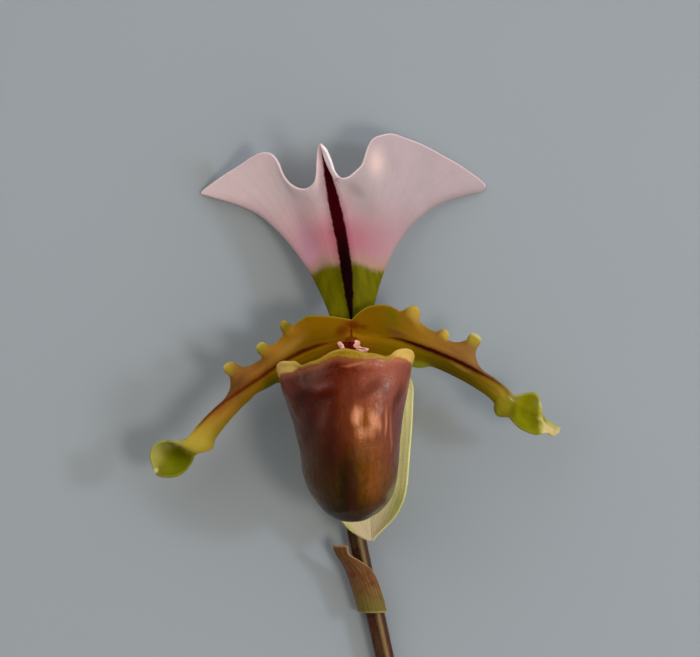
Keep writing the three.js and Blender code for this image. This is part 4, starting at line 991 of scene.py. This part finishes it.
def dorsal_sepal():
    grid, t, v = dorsal_grid()
    x, y = grid[..., 0], grid[..., 1]
    midrib = grid[len(grid) // 2]
    on_left = x < midrib[:, 0]
    away = np.linalg.norm(grid - midrib, axis=-1)
    aside = x - midrib[:, 0] - read(STRIPE_LEAN, v)
    flap = np.minimum(x - read(FLAP_EDGE, y), 0.8 * (y - 28.1) - 0.3 * (x + 3.2))
    flap = np.where((t > 0) & (t < 0.2) & (v > 0.7), flap, -1)
    comb = vein_comb(t + 0.012 * np.sin(6 * v), 26, 10) * smooth(0.05, 0.3, v) * (1 - 0.5 * smooth(0.7, 1, v))
    groove = bell(away, 0, 0.9) * smooth(0.1, 0.3, v) * (1 - smooth(0.85, 0.97, v))
    dents = wobble(x * 0.5, y * 0.3, 1)
    relief = 0.014 * comb - 0.12 * groove + 0.05 * dents + 0.22 * smooth(-0.05, 0.3, flap)
    pink = (1 - smooth(17.5, 26.5, y)) * (0.82 + 0.18 * smooth(12, 17, y))
    pink = pink * (0.3 + 0.7 * bell(away, 0, np.where(on_left, 8.5, 8.2)))
    boundary = 13.15 - 0.2 * away - 0.012 * away**2 * (x < 0) + 0.25 * np.sin(1.1 * x + 0.6)
    from_foot = lengths(grid, 1)
    fields = {
        "stripe": np.abs(aside) - read(STRIPE_HALF, v), "flap": flap, "vein": comb, "green": boundary - y,
        "right": smooth(-1, 3, aside), "rim": np.minimum(from_foot[:, -1:] - from_foot, 3),
        "pink": np.maximum(pink, 0.6 * bell(aside, 1.2, 2.4) * (1 - smooth(22, 28, y))),
        "magenta": bell(away, 6.8, 2.4) * bell(y, 15, 4) * on_left,
        # warm: a painted highlight on the right hump
        "warm": bell(x, 4.3, 1.5) * bell(y, 31.2, 2.6),
        "beak_highlight": patches(x, y, SEPAL_BEAK_HIGHLIGHT), "shade": patches(x, y, SEPAL_SHADES),
    }
    thickness = 0.62 - 0.2 * v
    leaf("dorsal_sepal", grid, thickness, relief, fields, dorsal_material())


def petal_grid(shape):
    """Grid of a petal, its midrib, the share of the way to the margin, the station, and where it is upper."""
    across, along = GRID["petal"]
    half = spread(across, 0.35, both_ends=False)
    side, v = net(np.concatenate([-half[:0:-1], half]), np.linspace(0, 1, along))
    share = np.abs(side)
    is_upper = side * shape["turn"] > 0
    middle, upper, lower = (profile(shape[key], v) for key in ("midrib", "upper", "lower"))
    margin = np.where(is_upper[..., None], upper, lower)
    inward = middle - margin
    margin += MARGIN_INSET * inward / np.linalg.norm(inward, axis=-1, keepdims=True).clip(0.5)
    calm = (1 - smooth(0.5, 1, share)) * (1 - smooth(0.5, 0.62, v))
    margin += (calmed(margin, KNOB_SPACING) - margin) * calm[..., None]
    handle = (middle + margin) / 2
    handle[..., 2] += np.where(is_upper, *columns(shape["arch"], v))
    w = share[..., None]
    grid = middle * (1 - w) ** 2 + 2 * handle * w * (1 - w) + margin * w**2
    return grid, middle, share, v, is_upper


def knob_marks(rows, share, v, is_upper):
    """Swelling, colour, pale tip and warmth of a petal's knobs."""
    swelling, knob, tip, warmth = np.zeros((4, *v.shape))
    for station, size, warm, pale, strength in rows:
        spot = bell(v, station, 0.012 * size) * is_upper
        swelling = np.maximum(swelling, spot * smooth(0.66, 0.9, share))
        knob = np.maximum(knob, strength * spot * smooth(0.66, 0.9, share))
        tip = np.maximum(tip, pale * spot * smooth(0.88, 0.98, share))
        warmth += warm * bell(v, station, 0.04)
    return swelling, np.clip(1.2 * knob, 0, 1), tip, warmth


def petal(name, shape, tints):
    grid, middle, share, v, is_upper = petal_grid(shape)
    swelling, knob, knob_tip, warmth = knob_marks(shape["knobs"], share, v, is_upper)
    x, y = grid[..., 0], grid[..., 1]
    away = np.linalg.norm(grid - middle, axis=-1)
    comb = vein_comb(share * 0.5, 14, 6) * smooth(0.02, 0.15, v) * (1 - smooth(0.85, 0.97, share))
    groove = bell(away, 0, 0.5) * smooth(0.05, 0.2, v) * (1 - smooth(0.7, 0.8, v))
    relief = 0.02 * comb - 0.1 * groove + 0.08 * wobble(0.8 * x, 0.8 * y, 3 + shape["turn"])
    thickness = 0.6 * (1 - 0.25 * v) + 0.16 * swelling * smooth(0.84, 0.96, share)
    lean = np.where(is_upper, away, -away) - read(shape["line_lean"], v)
    outer = smooth(0.72, 0.9, v)
    lip_x, lip_y, lip_size = shape["lip"]
    fields = {
        "station": v, "line": np.abs(lean) - read(shape["line"], v),
        "upper": smooth(0, 0.2, share) * is_upper, "knob": knob, "knob_tip": knob_tip, "warmth": warmth,
        # a green lower margin, partly the petal's colour and partly painted shade
        "green_and_shade_side": smooth(0.55, 0.95, share) * ~is_upper * smooth(0.12, 0.3, v) * (1 - outer),
        "pale_side": smooth(0.25, 0.85, share) * is_upper * smooth(0.82, 0.88, v),
        # glow: a painted highlight
        "glow": shape["glow"] * bell(v, 0.62, 0.07) * bell(share, 0.25, 0.16) * ~is_upper,
        "lip": bell(x, lip_x, lip_size) * bell(y, lip_y, lip_size) * outer,
        "pale_rim": (0.6 - 0.3 * smooth(0.2, 0.4, v)) * np.where(is_upper, 1, 0.5),
        "heart": patches(x, y, HEART_BLOTCHES_AND_SHADE), **spots(x, y, PETAL_PATCHES),
    }
    material = petal_material(name + "_waxy", tints)
    leaf(name, grid, thickness, relief, fields, material, foot=False, slot="petals")


def synsepalum():
    across, along = GRID["synsepalum"]
    u, v = net(spread(across, 0.5), spread(along, 0.5, both_ends=False))
    side = 2 * u - 1
    left, right, depth = columns(BOAT_SIDES, v)
    grid = profile(KEEL, v)
    grid[..., 0] += side * np.where(side < 0, left, right)
    grid[..., 2] += depth * side**2
    comb = vein_comb(side + 0.02 * np.sin(9 * v), 15, 6)
    comb = comb * smooth(0.03, 0.2, v) * (1 - smooth(0.9, 1, np.abs(side)))
    dents = wobble(grid[..., 0] * 0.6, grid[..., 1] * 0.4, 9)
    relief = 0.025 * comb + 0.05 * dents - 0.1 * bell(side, 0, 0.1)
    right_lime = bell(v, 0.84, 0.09) * smooth(0.5, 0.9, side)
    left_lime = bell(v, 0.93, 0.04) * smooth(0.6, 0.95, -side)
    fields = {
        "vein": comb, "foot": 1 - smooth(0.05, 0.3, v), "cream": smooth(0.7, 0.98, v),
        "lime": np.maximum(right_lime, left_lime), "brink": smooth(0.93, 1, side) * smooth(0.1, 0.2, v),
    }
    thickness = 0.6 - 0.15 * v
    leaf("synsepalum", grid, thickness, relief, fields, synsepalum_material())


def soft_power(x):
    return np.sign(x) * np.abs(x) ** POUCH_SQUARENESS


def pouch_ring(u, v):
    """Oval outline of the pouch's body; u runs once round it."""
    middle, height, half_width, front, back = columns(POUCH_BODY, v)
    across = half_width * soft_power(np.sin(2 * math.pi * u))
    reach = soft_power(np.cos(2 * math.pi * u)) * (front - back) / 2
    tilt = MOUTH_TILT * np.maximum(1 - (v - BODY_START) / TILT_FADES, 0)
    return np.stack([middle + across, height + tilt * across, (front + back) / 2 + reach], -1)


def pouch_surface(u, v):
    """Wall of the pouch, which runs from the wavy rim into the rings of the body."""
    degrees = turned(u) * 360
    out, height, forward = columns(MOUTH, np.abs(degrees))
    aside = np.where(degrees < 0, -out, out)
    skew = read(RIM_SKEW, POUCH_MIDDLE_X + aside) * (np.abs(degrees) < RIM_FRONT)
    rim = np.stack([POUCH_MIDDLE_X + aside, height + MOUTH_TILT * aside + skew, forward], -1)
    flat = np.full_like(v, BODY_START)
    ring = pouch_ring(u, flat)
    down = (pouch_ring(u, flat + BODY_STEP) - ring) * (BODY_START / BODY_STEP)
    leave = ring - rim
    t = np.clip(v / BODY_START, 0, 1)[..., None]
    upper = rim + t * (leave + t * (1 - t) * (leave - down))
    return np.where((v >= BODY_START)[..., None], pouch_ring(u, v), upper)


def pouch_faces(shape):
    """Faces of the outer and the inner skin, which meet at the rim; each ends in one point below."""
    above = np.arange(shape[0] * shape[1]).reshape(shape)
    below = above + above.size
    below[:, 0] = above[:, 0]
    above[:, -1], below[:, -1] = above[0, -1], below[0, -1]
    return [grid_faces(above, wrap=True)[:, ::-1], grid_faces(below, wrap=True)]


def pouch():
    sides, rings = GRID["pouch"]
    u, v = net(np.arange(sides) / sides, spread(rings, 0.3))
    grid = pouch_surface(u, v)
    x, y, z = np.moveaxis(grid, -1, 0)
    inward = normals_of(grid, wrap=True)
    inward[:, -1] = (0, 1, 0)
    rim, turn, in_front = lengths(grid, 1), turned(u), smooth(3, 6, z)
    comb = vein_comb(4 * u + 0.05 * np.sin(7 * v + 9 * u), 17, 3)
    comb = comb * smooth(0.12, 0.3, v) * (1 - smooth(0.85, 1, v))
    seam = bell(turn, -0.012 + 0.01 * np.sin(5 * v), 0.01) * smooth(0.1, 0.3, v)
    lumps = 0.13 * wobble(x * 0.55, y * 0.35 + z * 0.4, 5) + 0.05 * wobble(x * 1.5, y * 0.9 + z * 1.2, 6)
    folds = sum(h * bell(x, a, w) * bell(y, b, r) for a, b, w, r, h in POUCH_FOLDS) * in_front
    relief = 0.015 * comb - 0.05 * seam + lumps * smooth(0.02, 0.2, v) + folds
    bead = 0.18 * bell(rim, 0.45, 0.4)
    rounding = np.sqrt(1 - (1 - np.clip(rim / 0.4, 0, 1)) ** 2)
    outer = grid - inward * (bead * rounding + relief * (1 - smooth(0.9, 1, v)))[..., None]
    inner = grid + inward * ((POUCH_WALL + bead) * rounding)[..., None]
    points = np.concatenate([outer.reshape(-1, 3), inner.reshape(-1, 3)]) + HEART
    half_width = np.maximum(columns(POUCH_BODY, v)[2], 2)
    drift_x, drift_y = 0.5 * wobble(x * 0.9, y * 0.5, 8), 0.5 * wobble(x * 0.5, y * 0.4, 10)
    tones = spots(x + drift_x, y + drift_y, POUCH_PATCHES)
    fields = {
        "flow": np.stack([(turn + 0.5) * POUCH_GIRTH, z * 0.3 - y, np.zeros_like(y)], -1),
        "rim": rim, "depth": v, "side": 0.5 + 0.5 * (x - POUCH_MIDDLE_X) / half_width,
        "reverse": smooth(0.27, 0.4, np.abs(turn)),
        "vein": comb, "seam": seam, "ear": smooth(7.6, 9.6, np.abs(x - POUCH_MIDDLE_X)) * in_front,
        "band": rim - read(BAND_DEPTH, x), **{key: tone * smooth(1, 4, z) for key, tone in tones.items()},
    }
    make_piece("pouch", points, pouch_faces(v.shape), doubled(fields), pouch_material())


def staminode():
    across, along = GRID["staminode"]
    u, v = net(np.linspace(0, 1, across), spread(along, 0.4))
    side = 2 * u - 1
    share = np.abs(side)
    left, right, x, y, z = columns(SHIELD, v)
    turn = np.maximum(share - SHIELD_FLAT, 0) / (1 - SHIELD_FLAT) * CURL_TURN
    curl = np.where(side < 0, *columns(CURL_RADIUS, v)) * (1 + 0.08 * np.sin(14 * v + 2 * np.sign(side)))
    out = np.where(side < 0, left, right) * np.minimum(share / SHIELD_FLAT, 1) + curl * np.sin(turn)
    lift = curl * (1 - np.cos(turn))
    peak = 0.5 * (1 - share) * (1 - smooth(0, 0.3, v))
    grid = np.stack([x + np.sign(side) * out, y + lift * CURL_LIFT[0] + peak, z + lift * CURL_LIFT[1]], -1)
    relief = 0.05 * wobble(grid[..., 0] * 2, grid[..., 1] * 2, 12) - 0.1 * bell(side, 0, 0.05)
    begin = 0.34 - 0.28 * bell(v, 0.4, 0.05) * (side > 0)
    inner = (1 - smooth(begin - 0.04, begin + 0.16, share)) * (1 - smooth(0.88, 1, v))
    fields = {"middle": 1 - inner, "middle_line": bell(side, 0, 0.06)}
    leaf("staminode", grid, SHIELD_THICKNESS, relief, fields, staminode_material())


def column():
    def radius(s, a):
        return read(COLUMN_GIRTH, s) * (1 + 0.04 * np.sin(3 * a) + 0.02 * np.sin(9 * a))

    grid, centre, *_ = tube("column", COLUMN_PATH, radius)
    points = [np.concatenate([grid.reshape(-1, 3), centre[[0, -1]]])]
    faces = tube_faces("column")
    sides, rings = GRID["anther"]
    a, b = net(np.linspace(0, 2 * math.pi, sides, endpoint=False), np.linspace(0, math.pi, rings))
    lump = 1 + 0.05 * np.sin(5 * a) * np.sin(4 * b) - 0.12 * bell(np.cos(a), 0, 0.12) * np.sin(b)
    ball = np.stack([np.cos(a) * np.sin(b), np.sin(a) * np.sin(b), np.cos(b)], -1) * lump[..., None]
    index = np.arange(a.size).reshape(a.shape)
    index[:, 0], index[:, -1] = index[0, 0], index[0, -1]
    for place in ANTHERS:
        faces.append(grid_faces(index, wrap=True)[:, ::-1] + sum(map(len, points)))
        points.append((ball * ANTHER_RADII + place).reshape(-1, 3))
    anther = np.repeat([0.0, 1.0, 1.0], [len(block) for block in points])
    make_piece("column", np.concatenate(points) + HEART, faces, {"anther": anther}, column_material())


# ---- stem and bract

def stem_piece(node, path, radius, material, cut=False):
    """Tube with short hairs; its far end shows a cut where that is asked for."""
    rings = GRID[node][1]
    grid, centre, angle, along = tube(node, path, radius)
    wall = grid.reshape(-1, 3)
    out = unit(grid - centre).reshape(-1, 3)
    turns = np.random.default_rng(SEED + rings)
    chosen = turns.choice(np.flatnonzero(along.ravel() < HAIRS_END), HAIR_COUNT[node], replace=False)
    hair_points, hair_faces = hairs(wall[chosen], out[chosen], rings)
    points = np.concatenate([wall, centre[[0, -1]], hair_points])
    faces = [*tube_faces(node), hair_faces + len(wall) + 2]

    def on_wall(values):
        """Field of the wall, 0 on the two centres and the hairs."""
        return np.pad(values.ravel(), (0, len(points) - len(wall)))

    end = on_wall((along == 1) * float(cut))
    end[len(wall) + 1] = cut
    total = np.linalg.norm(np.diff(centre, axis=0), axis=1).sum()
    fields = {
        "flow": np.stack([on_wall(part) for part in (STEM_GIRTH * angle, along * total, 0 * along)], -1),
        "hair": np.repeat([0.0, 1.0], [len(wall) + 2, len(hair_points)]), "cut": end,
        "rib": on_wall(np.clip(np.cos(6 * angle), 0, 1)), "crest": on_wall(bell(angle, 1.2, 0.22)),
    }
    make_piece(node, points, faces, fields, material)


def ovary():
    def radius(s, a):
        ribs = 0.07 * np.cos(6 * (a + 0.6 * s)) + 0.02 * np.cos(12 * a)
        flare = 0.25 * bell(s, 0, 0.02)
        end = np.sqrt(1 - np.clip((s - 0.985) / 0.016, 0, 1) ** 2)
        return (read(OVARY_GIRTH, s) * (1 + ribs) + flare + 0.03 * wobble(40 * s, 3 * np.sin(a), 20)) * end

    material = stem_material("ovary_hide", (30, 14, 4), (78, 52, 20), (60, 10, 10))
    stem_piece("ovary", OVARY_PATH, radius, material)


def flower_stalk():
    def radius(s, a):
        cap = np.where(s > 0.999, 0.92, 1)
        return STALK_RADIUS * (1 + 0.02 * np.cos(5 * a) + 0.01 * wobble(12 * s, 2 * np.sin(a), 21)) * cap

    material = stem_material("stalk_hide", (42, 18, 10), (84, 54, 28), (66, 14, 14))
    stem_piece("flower_stalk", STALK_PATH, radius, material, cut=True)


def bract():
    across, along = GRID["bract"]
    u, v = net(spread(across, 0.5), spread(along, 0.4))
    x, y, z, radius, left, right = columns(BRACT, v)
    angle = np.radians(left + u * (right - left))
    grid = np.stack([x + radius * np.sin(angle), y, z + radius * np.cos(angle)], -1)
    side = 2 * u - 1
    comb = vein_comb(side, 13, 6) * (1 - smooth(0.92, 1, np.abs(side)))
    relief = 0.06 * comb + 0.06 * wobble(x * 1.5 + 4 * side, y * 0.8, 30)
    fields = {"vein": comb, "foot": 1 - smooth(0.05, 0.5, v)}
    thickness = 0.5 - 0.15 * v
    leaf("bract", grid, thickness, relief, fields, bract_material(), origin=0, lowest=BRACT_CLEARANCE)


# ---- stage, light, camera, in metres

FLOOR_HALF = 4
CAMERA = (-0.00036, 0.01517, 0.813)
SENSOR = 36
VIEW_WIDTH = 0.126  # width of the picture at the height VIEW_PLANE
VIEW_PLANE = 0.013
CLIP = (0.05, 20)
AIM = Vector((0, -0.004, 0.01))  # the point that the lamps face
LAMPS = [  # name, azimuth (0 is +X, 90 is +Y), tilt from the vertical, distance, width, height, power, colour
    ("key", -22, 29, 1.1, 0.25, 0.25, 3.2, (1, 0.94, 0.86)),
    ("right", -20, 52, 1.2, 1.6, 1.3, 3.3, (1, 0.97, 0.93)),
    ("window", 8, 56, 1.1, 0.17, 0.11, 3.6, (0.62, 0.74, 1)),
    ("fill", 130, 48, 1.3, 1.6, 1.4, 6.8, (0.96, 0.97, 1)),
]
SKY_COLOUR = (0.9, 0.95, 1, 1)
SKY_GLOW = [(0, 0.85), (0.3, 0.85), (0.6, 0.78), (0.85, 0.2), (1, 0.03)]  # from the horizon to straight above
SKY_SIDE = (0.35, 0.94, 0)  # the way to the sky's brighter side
SKY_SPAN = (-0.8, 0.6, 0.16, 1.15)  # from and to along that way, and how strong the sky is there


def stage():
    s = FLOOR_HALF
    mesh = bpy.data.meshes.new("floor")
    mesh.from_pydata([(-s, -s, 0), (s, -s, 0), (s, s, 0), (-s, s, 0)], [], [(0, 1, 2, 3)])
    mesh.materials.append(floor_material())
    add_object("floor", mesh)


def softbox(name, azimuth, tilt, distance, width, height, power, colour):
    """Area light that faces the bloom."""
    a, t = math.radians(azimuth), math.radians(tilt)
    way = Vector((math.sin(t) * math.cos(a), math.sin(t) * math.sin(a), math.cos(t)))
    light = bpy.data.lights.new(name, "AREA")
    light.shape, light.size, light.size_y = "RECTANGLE", width, height
    light.energy, light.color = power, colour
    lamp = add_object(name, light)
    lamp.location = AIM + way * distance
    lamp.rotation_mode = "QUATERNION"
    lamp.rotation_quaternion = way.to_track_quat("Z", "Y")
    lamp.visible_camera = False


def sky():
    """A pale ring low round the bloom, brighter on one side."""
    world = bpy.data.worlds.new("studio")
    world.use_nodes = True
    n = Nodes(world.node_tree)
    place = n.node("TexCoord", output="Generated")
    glow = n.ramp(n.node("SeparateXYZ", {0: place}, "Z"), [(z, (g, g, g, 1)) for z, g in SKY_GLOW])
    turn = n.node("VectorMath", {0: place, 1: SKY_SIDE}, "Value", operation="DOT_PRODUCT")
    strength = n.times(glow, n.scaled(turn, *SKY_SPAN))
    n.plug(world.node_tree.nodes["Background"], {"Color": SKY_COLOUR, "Strength": strength})
    bpy.context.scene.world = world


def camera():
    data = bpy.data.cameras.new("camera")
    data.sensor_width = SENSOR
    data.lens = SENSOR * (CAMERA[2] - VIEW_PLANE) / VIEW_WIDTH
    data.clip_start, data.clip_end = CLIP
    view = add_object("camera", data)
    view.location = CAMERA
    bpy.context.scene.camera = view


dorsal_sepal()
petal("petal_left", LEFT_PETAL, LEFT_TINTS)
petal("petal_right", RIGHT_PETAL, RIGHT_TINTS)
synsepalum()
pouch()
staminode()
column()
ovary()
bract()
flower_stalk()
stage()
sky()
for lamp in LAMPS:
    softbox(*lamp)
camera()
bpy.context.scene.view_settings.view_transform = "Standard"
